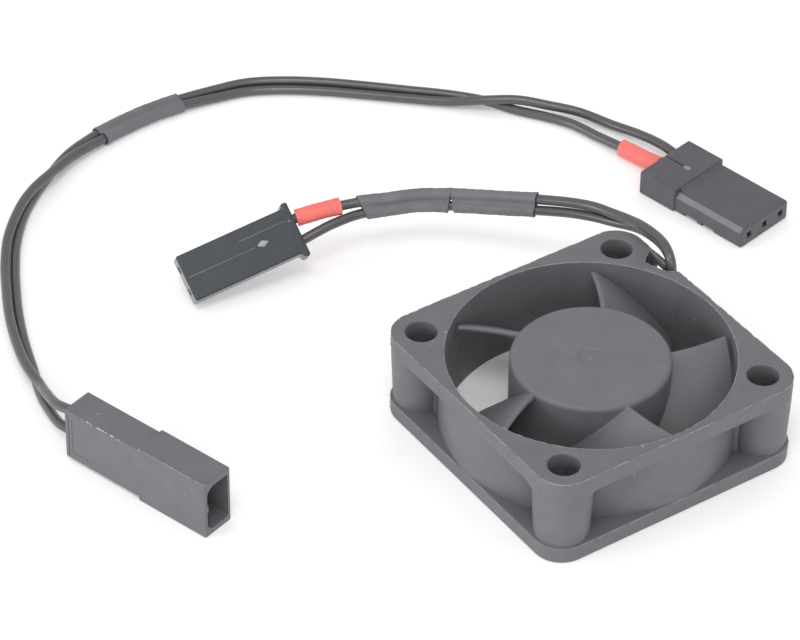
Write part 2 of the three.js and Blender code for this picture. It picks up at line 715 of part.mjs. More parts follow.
function fanPlugHousing() {
  const { length, width, thickness } = FAN_PLUG;
  const rear = -length / 2;
  const front = length / 2;
  const earWidth = 0.5;
  const outline = [
    [rear, -width / 2 - earWidth],
    [rear + 0.6, -width / 2 - earWidth],
    [rear + 0.85, -width / 2],
    [front, -width / 2],
    [front, width / 2],
    [rear + 0.85, width / 2],
    [rear + 0.6, width / 2 + earWidth],
    [rear, width / 2 + earWidth],
  ];
  const body = plate(polygon(outline), -thickness / 2, thickness / 2);
  const shoulder = front - 1.4;
  const cavities = [-1, 1].flatMap((side) => (
    contactCavity(rear - 1, shoulder, front + 1, (side * CONTACT_PITCH) / 2, 0)
  ));
  const halfGroove = 0.12;
  const groove = block([rear + 2, -halfGroove, thickness / 2 - 0.1], [front - 1, halfGroove, thickness]);
  return carved([body], [...cavities, groove]);
}

function leadSocketHousing() {
  const rear = SOCKET_REAR;
  const front = SOCKET_FRONT;
  const end = rear.length + front.length;
  const body = [
    block([0, -rear.width / 2, -rear.height / 2], [rear.length + 0.5, rear.width / 2, rear.height / 2]),
    block([rear.length, -front.width / 2, -front.height / 2], [end, front.width / 2, front.height / 2]),
  ];
  const side = SOCKET_CAVITY.width / 2;
  const top = SOCKET_CAVITY.height / 2;
  const cavityShape = polygon([
    [-side, 0.5 - top],
    [0.5 - side, -top],
    [side, -top],
    [side, top],
    [0.9 - side, top],
    [-side, top - 1],
  ]);
  const mouth = plate(cavityShape, end - SOCKET_CAVITY.depth, end + 1);
  const sideways = new THREE.Vector3(0, 1, 0);
  const upward = new THREE.Vector3(0, 0, 1);
  const forward = new THREE.Vector3(1, 0, 0);
  mouth.applyMatrix4(new THREE.Matrix4().makeBasis(sideways, upward, forward));
  const keyHalf = 0.6;
  const keyTop = 0.35 - side;
  const key = block([end - 6, -front.width / 2, -keyHalf], [end - 0.1, keyTop, keyHalf]);
  const shoulder = rear.length - 1;
  const cavities = [-1, 1].flatMap((way) => {
    const z = (way * CONTACT_PITCH) / 2;
    return contactCavity(-1, shoulder, end - SOCKET_CAVITY.depth + 0.5, 0, z);
  });
  const hollow = carved(body, [mouth, ...cavities]);
  return carved([hollow, key]);
}

// A pin contact: the crimped barrel in the rear of the housing and the square pin ahead of it.
function leadPin(side) {
  const z = (side * CONTACT_PITCH) / 2;
  const half = PIN_SIDE / 2;
  const bodyEnd = SOCKET_REAR.length - 1.3;
  const pinEnd = SOCKET_REAR.length + SOCKET_FRONT.length - 2.3;
  const body = [
    block([1.35, -0.6, z - 0.55], [3.6, 0.6, z + 0.55]),
    block([3.2, -0.75, z - 0.7], [bodyEnd, 0.75, z + 0.7]),
    block([bodyEnd - 0.5, -half, z - half], [pinEnd, half, z + half]),
  ];
  return carved(body);
}

function servoPlugHousing() {
  const rear = SERVO_REAR;
  const front = SERVO_FRONT;
  const end = rear.length + front.length;
  const chamfer = 0.6;
  const section = [
    [-front.width / 2, 0],
    [front.width / 2, 0],
    [front.width / 2, front.height],
    [chamfer - front.width / 2, front.height],
    [-front.width / 2, front.height - chamfer],
  ];
  const nose = plate(polygon(section), rear.length - 0.5, end);
  const sideways = new THREE.Vector3(0, 1, 0);
  const upward = new THREE.Vector3(0, 0, 1);
  const forward = new THREE.Vector3(1, 0, 0);
  nose.applyMatrix4(new THREE.Matrix4().makeBasis(sideways, upward, forward));
  const tail = block([0, -rear.width / 2, 0], [rear.length, rear.width / 2, rear.height]);
  const shoulder = end - 1.4;
  const cuts = [];
  for (let i = 0; i < SERVO_WAYS; i += 1) {
    const y = (i - 1) * CONTACT_PITCH;
    cuts.push(...contactCavity(-1, shoulder, end + 1, y, SERVO_AXIS_HEIGHT));
  }
  for (const x of [1.4, 6.2, 10]) {
    cuts.push(block([x, -rear.width, -1], [x + 1.4, -rear.width / 2 + 0.75, 0.3]));
  }
  const groove = block([1.4, -0.15, rear.height - 0.12], [rear.length + 0.5, 0.15, rear.height + 1]);
  cuts.push(groove);
  return carved([nose, tail], cuts);
}

// ---------------------------------------------------------------- assembly

const fanSet = new THREE.Group();

function addPiece(name, geometry, material, parent = fanSet) {
  const mesh = new THREE.Mesh(geometry, material);
  mesh.name = name;
  parent.add(mesh);
}

function addFanHousing() {
  const labelRadius = LABEL_RECESS_RADIUS - 0.2;
  addPiece('fan_frame', fanFrame(), FRAME_PLASTIC());
  addPiece('base_label', bar(labelRadius, 0.06, LABEL_RECESS_DEPTH - 0.07, 40), LABEL_FILM());
  const bearing = ring(SHAFT_RADIUS + 0.06, TUBE_BORE - 0.05, 1.95, TUBE_TOP - 0.2, 24);
  addPiece('bearing_sleeve', bearing, BRONZE());
}

function addStator() {
  const core = poleStack(2.9, ARM_HALF_WIDTH, SHOE_INNER, SHOE_OUTER, CORE_BOTTOM, CORE_TOP);
  addPiece('stator_core', core, LAMINATED_STEEL());
  const gap = 0.05;
  const insulator = (bottom) => poleStack(3.1, ARM_HALF_WIDTH + 0.2, SHOE_INNER - 0.05, SHOE_OUTER - 0.2,
    bottom, bottom + INSULATOR_THICKNESS);
  addPiece('insulator_lower', insulator(CORE_BOTTOM - gap - INSULATOR_THICKNESS), WHITE_NYLON());
  addPiece('insulator_upper', insulator(CORE_TOP + gap), WHITE_NYLON());
  for (let i = 0; i < POLE_COUNT; i += 1) {
    addPiece(`coil_${i + 1}`, coil(i), COPPER());
  }
  addPiece('circuit_board', circuitBoard(), BOARD_LAMINATE());
  const partFloor = BOARD_TOP + 0.05;
  const chip = radialBlock(WIRE_STRUT_AZIMUTH + 180, 4.7, 6.2, 1.45, partFloor, partFloor + 0.7);
  addPiece('driver_chip', chip, CHIP_EPOXY());
  const capacitor = radialBlock(WIRE_STRUT_AZIMUTH + 90, 5, 5.8, 0.8, partFloor, partFloor + 0.6);
  addPiece('board_capacitor', capacitor, CERAMIC());
  addPiece('solder_joint_negative', solderJoint(1), TIN());
  addPiece('solder_joint_positive', solderJoint(-1), TIN());
}

function addRotor() {
  addPiece('impeller', impeller(), ROTOR_PLASTIC());
  addPiece('rotor_yoke', ring(7.1, HUB_INNER - 0.06, 2.6, HUB_CEILING - 0.1, 48), STEEL());
  addPiece('rotor_magnet', ring(6.35, 7.04, 3, 7.8, 48), MAGNET());
  addPiece('rotor_shaft', rotorShaft(), STEEL());
  const [grooveBottom, grooveTop] = CLIP_GROOVE;
  addPiece('shaft_clip', ring(0.56, 1.2, grooveBottom + 0.05, grooveTop - 0.05, 20), WHITE_NYLON());
  const washer = ring(SHAFT_RADIUS + 0.07, 1.5, TUBE_TOP + 0.15, TUBE_TOP + 0.45, 20);
  addPiece('thrust_washer', washer, WHITE_NYLON());
}

function addFanLead() {
  addPiece('fan_wire_negative', wire(FAN_LEAD_ROUTE, 1), WIRE_JACKET());
  addPiece('fan_wire_positive', wire(FAN_LEAD_ROUTE, -1), WIRE_JACKET());
  addPiece('fan_sleeve_near_fan', greySleeve(FAN_LEAD_ROUTE, 0.63, 0.73), GREY_TUBING());
  addPiece('fan_sleeve_near_plug', greySleeve(FAN_LEAD_ROUTE, 0.734, 0.853), GREY_TUBING());
  addPiece('fan_red_sleeve', redSleeve(FAN_LEAD_ROUTE, 2.4, 7.2), RED_TUBING());

  const plug = new THREE.Group();
  plug.position.set(...FAN_PLUG_CENTRE);
  const { roll, pitch, yaw } = FAN_PLUG_TURN;
  plug.rotation.set(radians(roll), radians(pitch), radians(yaw), 'ZYX');
  fanSet.add(plug);
  addPiece('fan_plug_housing', fanPlugHousing(), PLUG_PLASTIC(), plug);
  const rear = -FAN_PLUG.length / 2;
  const contact = (side) => {
    const shape = socketContact(rear + 2.3, FAN_PLUG.length / 2 - 1.6);
    return shape.translate(0, (side * CONTACT_PITCH) / 2, 0);
  };
  addPiece('fan_contact_negative', contact(1), TIN(), plug);
  addPiece('fan_contact_positive', contact(-1), TIN(), plug);
}

function addExtensionLead() {
  addPiece('lead_wire_negative', wire(EXTENSION_ROUTE, 1), WIRE_JACKET());
  addPiece('lead_wire_positive', wire(EXTENSION_ROUTE, -1), WIRE_JACKET());
  addPiece('lead_grey_sleeve', greySleeve(EXTENSION_ROUTE, 0.446, 0.529), GREY_TUBING());
  addPiece('lead_red_sleeve', redSleeve(EXTENSION_ROUTE, 2.2, 7.4), RED_TUBING());

  const socket = new THREE.Group();
  socket.position.set(...SOCKET_ORIGIN);
  socket.rotation.z = radians(SOCKET_YAW);
  fanSet.add(socket);
  addPiece('lead_socket_housing', leadSocketHousing(), PLUG_PLASTIC(), socket);
  addPiece('lead_pin_negative', leadPin(1), GOLD(), socket);
  addPiece('lead_pin_positive', leadPin(-1), GOLD(), socket);

  const plug = new THREE.Group();
  plug.position.set(...SERVO_ORIGIN);
  plug.rotation.z = radians(SERVO_YAW);
  fanSet.add(plug);
  addPiece('servo_plug_housing', servoPlugHousing(), PLUG_PLASTIC(), plug);
  const end = SERVO_REAR.length + SERVO_FRONT.length - 1.6;
  const contact = (way) => socketContact(1.75, end).translate(0, way * CONTACT_PITCH, SERVO_AXIS_HEIGHT);
  addPiece('servo_contact_negative', contact(1), TIN(), plug);
  addPiece('servo_contact_positive', contact(0), TIN(), plug);
}

addFanHousing();
addStator();
addRotor();
addFanLead();
addExtensionLead();

export default fanSet;
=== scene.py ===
"""Looks for a small axial cooling fan, its plugged lead and a separate extension lead.

Shapes are made in millimetres and scaled to metres when they are placed.
"""

import json
import math

import bmesh
import bpy
from mathutils import Euler, Matrix, Quaternion, Vector, noise


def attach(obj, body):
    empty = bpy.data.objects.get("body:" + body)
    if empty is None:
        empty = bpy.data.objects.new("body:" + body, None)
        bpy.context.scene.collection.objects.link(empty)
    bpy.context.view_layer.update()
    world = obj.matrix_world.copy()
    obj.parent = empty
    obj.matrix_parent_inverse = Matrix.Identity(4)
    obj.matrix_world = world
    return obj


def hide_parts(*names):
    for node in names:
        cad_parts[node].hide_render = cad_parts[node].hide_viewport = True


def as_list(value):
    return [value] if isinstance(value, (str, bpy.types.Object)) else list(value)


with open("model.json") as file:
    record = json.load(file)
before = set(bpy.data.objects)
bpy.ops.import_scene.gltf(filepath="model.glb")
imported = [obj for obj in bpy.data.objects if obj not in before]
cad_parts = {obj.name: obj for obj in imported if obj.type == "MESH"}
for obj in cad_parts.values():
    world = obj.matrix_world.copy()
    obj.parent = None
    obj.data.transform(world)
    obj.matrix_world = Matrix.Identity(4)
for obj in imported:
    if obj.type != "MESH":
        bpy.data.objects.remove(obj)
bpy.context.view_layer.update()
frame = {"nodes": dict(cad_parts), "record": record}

MM = 0.001
TAU = 2 * math.pi
SCENE = bpy.context.scene

# ---- dimensions, in mm

FRAME_SIDE = 30
FRAME_HEIGHT = 10
CORNER_RADIUS = 3
TOP_FLANGE = 2
BASE_FLANGE = 1.8
HOLE_OFFSET = 12
HOLE_RADIUS = 1.6
DUCT_RADIUS = 14.4
DUCT_WALL = 0.57
POST_TOP_RADIUS = 2.985
POST_BASE_RADIUS = 2.75
POST_BOTTOM = 0.6
POST_TOP = 8.9
WEB_HALF_WIDTH = 2.5
BASE_RADIUS = 8.2
BASE_TOP = 1.3
LABEL_RADIUS = 7.2
STRUT_EDGE = 0.15
WIRE_STRUT_AZIMUTH = 27
WIRE_STRUT_TOP = 1.7
CHANNEL_FLOOR = 0.45

HUB_RADIUS = 8.05
HUB_INNER = 7.55
HUB_TOP = 9.6
HUB_CEILING = 8.9
HUB_SKIRT = 2
MARK_DEPTH = 0.15
EJECTOR_MARK = (3.3, 5.35, 0)
BLADE_COUNT = 5
BLADE_TIP_RADIUS = 13.85
BLADE_ROOT_RADIUS = 7.75
BLADE_TIP_AZIMUTH = 53.8
BLADE_LEAD = 7.5
BLADE_SWEEP_ROOT = 52
BLADE_SWEEP_TIP = 37
BLADE_TOP = 9.1
BLADE_BOTTOM = 2.6
BLADE_THICKNESS = 0.6
BLADE_EDGE = 0.035

WIRE_RADIUS = 0.525
# From wire to wire of a pair, and from contact to contact.
PITCH = 1.15
CONTACT_PITCH = 2.54
RED_SLEEVE_RADIUS = 0.9
GREY_SLEEVE_WALL = 0.12
SLEEVE_GAP = 0.07
SLEEVE_SADDLE = 0.3
GREY_SLEEVE_FLARE = 0.05
RED_SLEEVE_FLARE = 0.03

FAN_PLUG_CENTRE = (-16.24, 38.69, 3.86)
FAN_PLUG_TURN = (-41, 11.4, 171)
FAN_PLUG_LENGTH = 12.95
FAN_PLUG_WIDTH = 5.08
FAN_PLUG_THICKNESS = 2.5
PLUG_FRONT_WALL = 1.4
CHAMBER_HALF = (0.85, 0.75)
PIN_HOLE_HALF = (0.36, 0.4)

SOCKET_ORIGIN = (-43.7, 25.53, 3.36)
SOCKET_YAW = -73.4
SOCKET_REAR = (9.65, 3.5, 6.0)
SOCKET_FRONT = (8.7, 3.7, 6.7)
SOCKET_MOUTH_DEPTH = 8.3
# Each nick on the socket's edge is its distance from the rear and its size.
SOCKET_NICKS = [(3.1, 0.16), (3.5, 0.1), (4.6, 0.22), (5.1, 0.17), (5.5, 0.12), (6.3, 0.2), (7.2, 0.1)]

SERVO_ORIGIN = (31.6, 29.33, 0)
SERVO_YAW = -78.2
SERVO_REAR = (4.85, 8.0, 2.85)
SERVO_FRONT = (9.25, 7.6, 2.35)
SERVO_AXIS_HEIGHT = 1.25
SERVO_CHAMFER = 0.6
SERVO_HOLE_LEAN = 10
SERVO_FOOT_GAPS = (6.2, 8.6)

# An edge stays sharp where the faces meet at more than this many degrees.
SHARP_MOULDING = 38
SHARP_SMALL = 34
SHARP_TUBE = 60

# How finely round shapes are divided.
ROUND_STEPS = 160
CORNER_STEPS = 14
SAMPLES_PER_SPAN = 8

# Each row is a point on the middle of a pair of wires, then the distance between the two
# wires, then the azimuth and elevation in degrees of the way from the positive wire to
# the negative one.
FAN_LEAD_ROUTE = [
    (4.7, 2.4, 1.05, PITCH, 117, 0),
    (7.6, 3.9, 1.05, PITCH, 117, 0),
    (10.2, 5.2, 1.05, PITCH, 117, 0),
    (12.3, 6.2, 1.1, PITCH, 116, 0),
    (13.8, 6.7, 1.9, PITCH, 112, 0),
    (14.4, 6.8, 3.6, PITCH, 112, 0),
    (14.5, 6.85, 5.5, PITCH, 95, 0),
    (14.9, 6.85, 7.3, PITCH, 70, 0),
    (15.15, 6.93, 9, PITCH, 58, 0),
    (15.25, 7.32, 10.2, PITCH, 55, -30),
    (15.6, 8.47, 10.6, PITCH, 48, -50),
    (15.95, 10.3, 10.55, PITCH, 17, -62),
    (15.97, 12.55, 10.35, PITCH, -10, -61),
    (15.9, 14.7, 9.8, PITCH, -22, -60),
    (15.3, 17, 9.3, PITCH, -53, -67),
    (14.4, 19.3, 9, PITCH, -95, -70),
    (13, 21.7, 8.6, PITCH, -120, -72),
    (11, 24.5, 8, PITCH, 232, -62),
    (9, 26.9, 7.5, PITCH, 235, -52),
    (6.6, 29.7, 7, PITCH, 240, -54),
    (4.5, 31.7, 6.75, PITCH, 245, -62),
    (2.2, 33.5, 6.55, PITCH, 252, -70),
    (-0.6, 35, 6.25, PITCH, 258, -68),
    (-3.4, 36.25, 6.1, 1.25, 266, -56),
    (-6.2, 36.95, 5.85, 1.65, 269, -40),
    (-8.2, 37.33, 5.55, 2.05, 271, -40),
    (-10.24, 37.74, 5.1, 2.47, 271, -40),
    (-11.9, 38, 4.75, CONTACT_PITCH, 271, -40),
]
EXTENSION_ROUTE = [
    (-43.4, 24.53, 3.36, CONTACT_PITCH, 0, 90),
    (-43.9, 26.25, 3.3, CONTACT_PITCH, 0, 90),
    (-44.15, 28.6, 2.7, 2.2, 0, 90),
    (-43.6, 31.6, 1.9, 1.7, 0, 90),
    (-42.8, 34.6, 1.15, PITCH, 0, 90),
    (-41.9, 38.3, 1.05, PITCH, 162, 50),
    (-40.6, 42.4, 0.95, PITCH, 160, 38),
    (-39, 46.4, 0.9, PITCH, 155, 32),
    (-37.2, 50.1, 0.9, PITCH, 150, 32),
    (-35.2, 53.8, 0.9, PITCH, 148, 32),
    (-32.9, 57.3, 1, PITCH, 141, 45),
    (-30, 60.5, 1.15, PITCH, 135, 70),
    (-27.2, 62.8, 1.15, PITCH, 0, 90),
    (-23.7, 64.9, 1.1, PITCH, -62, 55),
    (-20.1, 66.8, 0.95, PITCH, -70, 25),
    (-16.3, 67.9, 0.85, PITCH, -80, 5),
    (-12.8, 68.5, 0.8, PITCH, -85, 0),
    (-8.9, 68.8, 0.8, PITCH, -90, 0),
    (-5.2, 68.6, 0.8, PITCH, -92, 0),
    (-1.5, 68, 0.77, PITCH, -100, -10),
    (2.5, 67, 0.8, PITCH, -115, -20),
    (6.2, 64.95, 0.8, PITCH, -122, -22),
    (9.7, 62.3, 0.8, PITCH, -130, -22),
    (13.2, 59.15, 0.8, PITCH, -133, -20),
    (16.6, 56, 0.8, PITCH, -133, -15),
    (19.8, 53, 0.85, PITCH, -133, -5),
    (22.6, 50.2, 1.1, PITCH, -133, 38),
    (25.1, 47.5, 1.12, 1.2, 44, 75),
    (27.3, 44.9, 1, 1.3, 40, 40),
    (29.3, 42.25, 0.83, 1.95, 32, 10),
    (30.7, 38.8, 0.7, 2.7, 20, 0),
    (31.63, 35.5, 1, 2.95, 15, 3),
    (32.31, 32.3, 1.25, 2.9, 14.5, 5),
    (32.86, 29.45, SERVO_AXIS_HEIGHT, CONTACT_PITCH, 11.8, 0),
    (33.18, 27.95, SERVO_AXIS_HEIGHT, CONTACT_PITCH, 11.8, 0),
]

# ---- camera and light

CAMERA_TARGET = (-9.282, 19.69, 5.0)
CAMERA_AZIMUTH = -34.549
CAMERA_ELEVATION = 39.075
CAMERA_DISTANCE = 415.433
CAMERA_ROLL = 0.623
CAMERA_LENS = 185.03
CAMERA_SENSOR = 36

# Each row is a light's name, its azimuth and elevation in degrees, its size in metres and
# its power in watts.
LIGHTS = [
    ("key", -100, 16, 0.4, 2.2),
    ("front", -30, 28, 0.36, 0.95),
    ("top", -42, 64, 0.3, 1.7),
]
LIGHT_DISTANCE = 0.9
LIGHT_AIM = (0, 0.02, 0)
SKY_COLOR = (1.0, 0.995, 1.0)
SKY_STRENGTH = 0.82
FLOOR_SIDE = 6.0
FLOOR_DROP = 0.02
FLOOR_COLOR = (0.95, 0.95, 0.955)
FLOOR_GLOW = (1, 0.99, 0.985)
FLOOR_GLOW_STRENGTH = 0.12


def new_object(name, data):
    obj = bpy.data.objects.new(name, data)
    SCENE.collection.objects.link(obj)
    return obj


def set_inputs(node, values):
    for socket_name, value in values.items():
        node.inputs[socket_name].default_value = value


def direction(azimuth, elevation):
    """A unit vector from its azimuth, counted from +X, and its elevation, in degrees."""
    a, e = math.radians(azimuth), math.radians(elevation)
    return Vector((math.cos(e) * math.cos(a), math.cos(e) * math.sin(a), math.sin(e)))


def towards_viewer(azimuth, elevation):
    """The way from the object to a viewer, whose azimuth is counted from -Y."""
    return direction(azimuth - 90, elevation)


def add_camera():
    back = towards_viewer(CAMERA_AZIMUTH, CAMERA_ELEVATION)
    data = bpy.data.cameras.new("camera")
    data.sensor_width = CAMERA_SENSOR
    data.lens = CAMERA_LENS
    data.clip_start = 0.01
    data.clip_end = 20
    camera = new_object("camera", data)
    camera.location = Vector(CAMERA_TARGET) * MM + back * CAMERA_DISTANCE * MM
    camera.rotation_mode = "QUATERNION"
    roll = Quaternion((0, 0, 1), math.radians(CAMERA_ROLL))
    camera.rotation_quaternion = (-back).to_track_quat("-Z", "Y") @ roll
    SCENE.camera = camera


def add_lights():
    world = bpy.data.worlds.new("studio")
    SCENE.world = world
    world.use_nodes = True
    background = world.node_tree.nodes["Background"]
    set_inputs(background, {"Color": (*SKY_COLOR, 1), "Strength": SKY_STRENGTH})
    SCENE.view_settings.view_transform = "Standard"
    SCENE.view_settings.look = "None"
    for name, azimuth, elevation, size, power in LIGHTS:
        data = bpy.data.lights.new(name, "AREA")
        data.shape = "DISK"
        data.size = size
        data.energy = power
        light = new_object(name, data)
        back = towards_viewer(azimuth, elevation)
        light.location = Vector(LIGHT_AIM) + back * LIGHT_DISTANCE
        light.rotation_mode = "QUATERNION"
        light.rotation_quaternion = (-back).to_track_quat("-Z", "Y")


def add_floor():
    mesh = bpy.data.meshes.new("floor")
    corners = [(x, y, 0) for x, y in centred(FLOOR_SIDE, FLOOR_SIDE, 0)]
    mesh.from_pydata(corners, [], [(0, 1, 2, 3)])
    floor = new_object("floor", mesh)
    floor.location.z = -FLOOR_DROP * MM
    paper = bpy.data.materials.new("floor_paper")
    paper.use_nodes = True
    set_inputs(paper.node_tree.nodes["Principled BSDF"], {
        "Base Color": (*FLOOR_COLOR, 1),
        "Emission Color": (*FLOOR_GLOW, 1),
        "Emission Strength": FLOOR_GLOW_STRENGTH,
        "Roughness": 0.9,
        "Specular IOR Level": 0.1,
    })
    mesh.materials.append(paper)


# ---- materials

FRAME_GREY = (0.132, 0.131, 0.142)
ROTOR_GREY = (0.138, 0.137, 0.15)
PLUG_GREY = (0.03, 0.038, 0.046)
SERVO_GREY = (0.086, 0.084, 0.094)
SOCKET_GREY = (0.132, 0.13, 0.142)
JACKET_GREY = (0.055, 0.053, 0.059)
TUBING_GREY = (0.152, 0.151, 0.163)
TUBING_RED = (0.86, 0.17, 0.15)
DUST_COLOR = (0.5, 0.5, 0.52)
# Sockets of a colour Mix node, which are told apart by number only.
MIX_FACTOR, MIX_FROM, MIX_TO, MIX_RESULT = 0, 6, 7, 2


class Finish:
    """A procedural material that is built up one effect at a time; lengths are in metres."""

    def __init__(self, name, color, roughness, metallic=0.0):
        self.material = bpy.data.materials.new(name)
        self.material.use_nodes = True
        self.tree = self.material.node_tree
        self.shader = self.tree.nodes["Principled BSDF"]
        base = (*color, 1)
        set_inputs(self.shader, {"Base Color": base, "Roughness": roughness, "Metallic": metallic})
        self.color = color
        self.color_from = None
        self.height_from = None
        self.place = self.add("ShaderNodeTexCoord").outputs["Object"]

    def add(self, kind, **settings):
        node = self.tree.nodes.new(kind)
        for key, value in settings.items():
            setattr(node, key, value)
        return node

    def join(self, source, target):
        self.tree.links.new(source, target)

    def noise(self, scale, detail, stretch=None, rough=0.5):
        node = self.add("ShaderNodeTexNoise")
        set_inputs(node, {"Scale": scale, "Detail": detail, "Roughness": rough})
        source = self.place
        if stretch:
            mapping = self.add("ShaderNodeMapping")
            set_inputs(mapping, {"Scale": stretch})
            self.join(source, mapping.inputs["Vector"])
            source = mapping.outputs["Vector"]
        self.join(source, node.inputs["Vector"])
        return node.outputs["Fac"]

    def ramp(self, source, low, high, to_low=0.0, to_high=1.0):
        node = self.add("ShaderNodeMapRange")
        set_inputs(node, {"From Min": low, "From Max": high, "To Min": to_low, "To Max": to_high})
        self.join(source, node.inputs["Value"])
        return node.outputs["Result"]

    def tint(self, factor, color):
        """Mixes the colour so far towards another where the factor is high."""
        node = self.add("ShaderNodeMix", data_type="RGBA")
        node.inputs[MIX_FROM].default_value = (*self.color, 1)
        node.inputs[MIX_TO].default_value = (*color, 1)
        self.join(factor, node.inputs[MIX_FACTOR])
        if self.color_from:
            self.join(self.color_from, node.inputs[MIX_FROM])
        self.color_from = node.outputs[MIX_RESULT]
        self.join(self.color_from, self.shader.inputs["Base Color"])

    def mottle(self, scale, amount):
        """Cloudy patches that are darker and lighter than the colour by that share."""
        low = tuple(c * (1 - amount) for c in self.color)
        high = tuple(min(1, c * (1 + amount)) for c in self.color)
        cloud = self.noise(scale, 3.0)
        self.tint(self.ramp(cloud, 0.62, 0.35), low)
        self.tint(self.ramp(cloud, 0.45, 0.75, 0, 0.8), high)

    def vary_roughness(self, scale, low, high, stretch=None):
        cloud = self.noise(scale, 3.0, stretch)
        self.join(self.ramp(cloud, 0.3, 0.7, low, high), self.shader.inputs["Roughness"])

    def relief(self, height, distance, strength):
        node = self.add("ShaderNodeBump")
        set_inputs(node, {"Strength": strength, "Distance": distance})
        self.join(height, node.inputs["Height"])
        if self.height_from:
            self.join(self.height_from, node.inputs["Normal"])
        self.height_from = node.outputs["Normal"]
        self.join(self.height_from, self.shader.inputs["Normal"])

    def dust(self, scale, amount):
        """Sparse light specks."""
        cells = self.add("ShaderNodeTexVoronoi")
        set_inputs(cells, {"Scale": scale})
        self.join(self.place, cells.inputs["Vector"])
        near = self.ramp(cells.outputs["Distance"], 0.16, 0.05)
        patch = self.ramp(self.noise(scale * 0.37, 1.0), 0.62, 0.68)
        both = self.add("ShaderNodeMath", operation="MULTIPLY")
        self.join(near, both.inputs[0])
        self.join(patch, both.inputs[1])
        self.tint(self.ramp(both.outputs["Value"], 0, 1, 0, amount), DUST_COLOR)


def moulded(name, color, roughness, grain=2600, depth=0.000012):
    finish = Finish(name, color, roughness)
    finish.mottle(420, 0.05)
    finish.vary_roughness(800, roughness - 0.06, roughness + 0.08)
    finish.relief(finish.noise(grain, 3.0, rough=0.6), depth, 0.8)
    finish.relief(finish.noise(180, 2.0), 0.00004, 0.25)
    finish.dust(900, 0.5)
    return finish.material


def wire_jacket():
    finish = Finish("wire_jacket_soft_pvc", JACKET_GREY, 0.3)
    set_inputs(finish.shader, {"Specular IOR Level": 0.95})
    finish.mottle(300, 0.08)
    finish.vary_roughness(1500, 0.28, 0.4)
    finish.relief(finish.noise(1900, 3.0), 0.00001, 0.4)
    finish.relief(finish.noise(260, 2.0), 0.00005, 0.35)
    finish.dust(900, 0.4)
    return finish.material


def grey_tubing():
    finish = Finish("grey_shrink_tubing", TUBING_GREY, 0.62)
    finish.mottle(420, 0.1)
    finish.vary_roughness(1300, 0.55, 0.72)
    finish.relief(finish.noise(3600, 2.0), 0.000012, 0.5)
    finish.relief(finish.noise(520, 3.0), 0.00005, 0.4)
    finish.dust(1100, 0.35)
    return finish.material


def red_tubing():
    finish = Finish("red_shrink_tubing", TUBING_RED, 0.5)
    finish.mottle(500, 0.05)
    finish.vary_roughness(1300, 0.42, 0.6)
    finish.relief(finish.noise(2600, 2.0), 0.00001, 0.4)
    finish.relief(finish.noise(420, 3.0), 0.00005, 0.35)
    return finish.material


def metal(name, color, roughness, scale=1500, stretch=None):
    finish = Finish(name, color, roughness, 1.0)
    finish.mottle(700, 0.08)
    finish.vary_roughness(scale, roughness - 0.08, roughness + 0.12, stretch)
    finish.relief(finish.noise(scale, 3.0, stretch), 0.000006, 0.4)
    return finish.material


def plain(name, color, roughness):
    finish = Finish(name, color, roughness)
    finish.mottle(500, 0.07)
    finish.vary_roughness(1000, roughness - 0.06, roughness + 0.08)
    finish.relief(finish.noise(1800, 2.0), 0.00001, 0.4)
    return finish.material


MATERIALS = {
    "frame_plastic": moulded("frame_moulded_plastic", FRAME_GREY, 0.52),
    "rotor_plastic": moulded("rotor_moulded_plastic", ROTOR_GREY, 0.5, 3200, 0.000014),
    "fan_plug": moulded("fan_plug_moulded_plastic", PLUG_GREY, 0.4),
    "servo_plug": moulded("servo_plug_moulded_plastic", SERVO_GREY, 0.5),
    "socket": moulded("socket_moulded_plastic", SOCKET_GREY, 0.5),
    # Lighter grey for moulding flash, and for the painted highlight along the frame's edges.
    "flash_and_edge_highlight_grey": plain("moulding_flash_and_painted_edge_highlight", (0.27, 0.27, 0.29), 0.5),
    "gate_mark": plain("fan_plug_gate_mark_grey", (0.27, 0.34, 0.35), 0.4),
    # Painted highlight: a band round the fan plug's sides, lighter than the housing.
    "plug_side_highlight": plain("fan_plug_painted_side_highlight_grey", (0.2, 0.205, 0.21), 0.35),
    # Painted highlight along the fan plug's seam ridges.
    "seam_highlight_paint": plain("fan_plug_seam_painted_highlight_grey", (0.12, 0.13, 0.14), 0.4),
    "nick_marks": plain("socket_nick_grey", (0.42, 0.42, 0.43), 0.6),
    # Painted highlight for the servo plug's chamfer.
    "chamfer_highlight_paint": plain("servo_chamfer_painted_highlight_grey", (0.2, 0.197, 0.21), 0.35),
    "servo_mark": plain("servo_gate_mark_grey", (0.24, 0.24, 0.255), 0.45),
    "wire_jacket": wire_jacket(),
    "grey_tubing": grey_tubing(),
    "red_tubing": red_tubing(),
    "label_film": plain("label_plain_film", (0.52, 0.53, 0.54), 0.35),
    "board_laminate": plain("board_solder_mask", (0.02, 0.1, 0.045), 0.4),
    "white_nylon": plain("white_nylon", (0.74, 0.72, 0.66), 0.5),
    "chip_epoxy": plain("chip_epoxy", (0.015, 0.015, 0.017), 0.55),
    "ceramic": plain("capacitor_ceramic", (0.38, 0.24, 0.12), 0.5),
    "steel": metal("ground_steel", (0.55, 0.55, 0.57), 0.28),
    "laminated_steel": metal("stamped_core_steel", (0.32, 0.32, 0.34), 0.42, 5200, (1, 1, 40)),
    "bronze": metal("sintered_bronze", (0.5, 0.33, 0.14), 0.45),
    "copper": metal("enamelled_copper", (0.72, 0.25, 0.09), 0.32, 4200),
    "magnet": metal("bonded_ferrite", (0.06, 0.06, 0.065), 0.6),
    "tin": metal("tinned_bronze", (0.62, 0.62, 0.6), 0.3),
    "gold": metal("gilt_pins", (0.8, 0.52, 0.18), 0.25),
}

# ---- mesh helpers, in mm

MERGE_DISTANCE = 0.0005
SLIVER_LENGTH = 0.0002
SLAB_MERGE_DISTANCE = 0.002


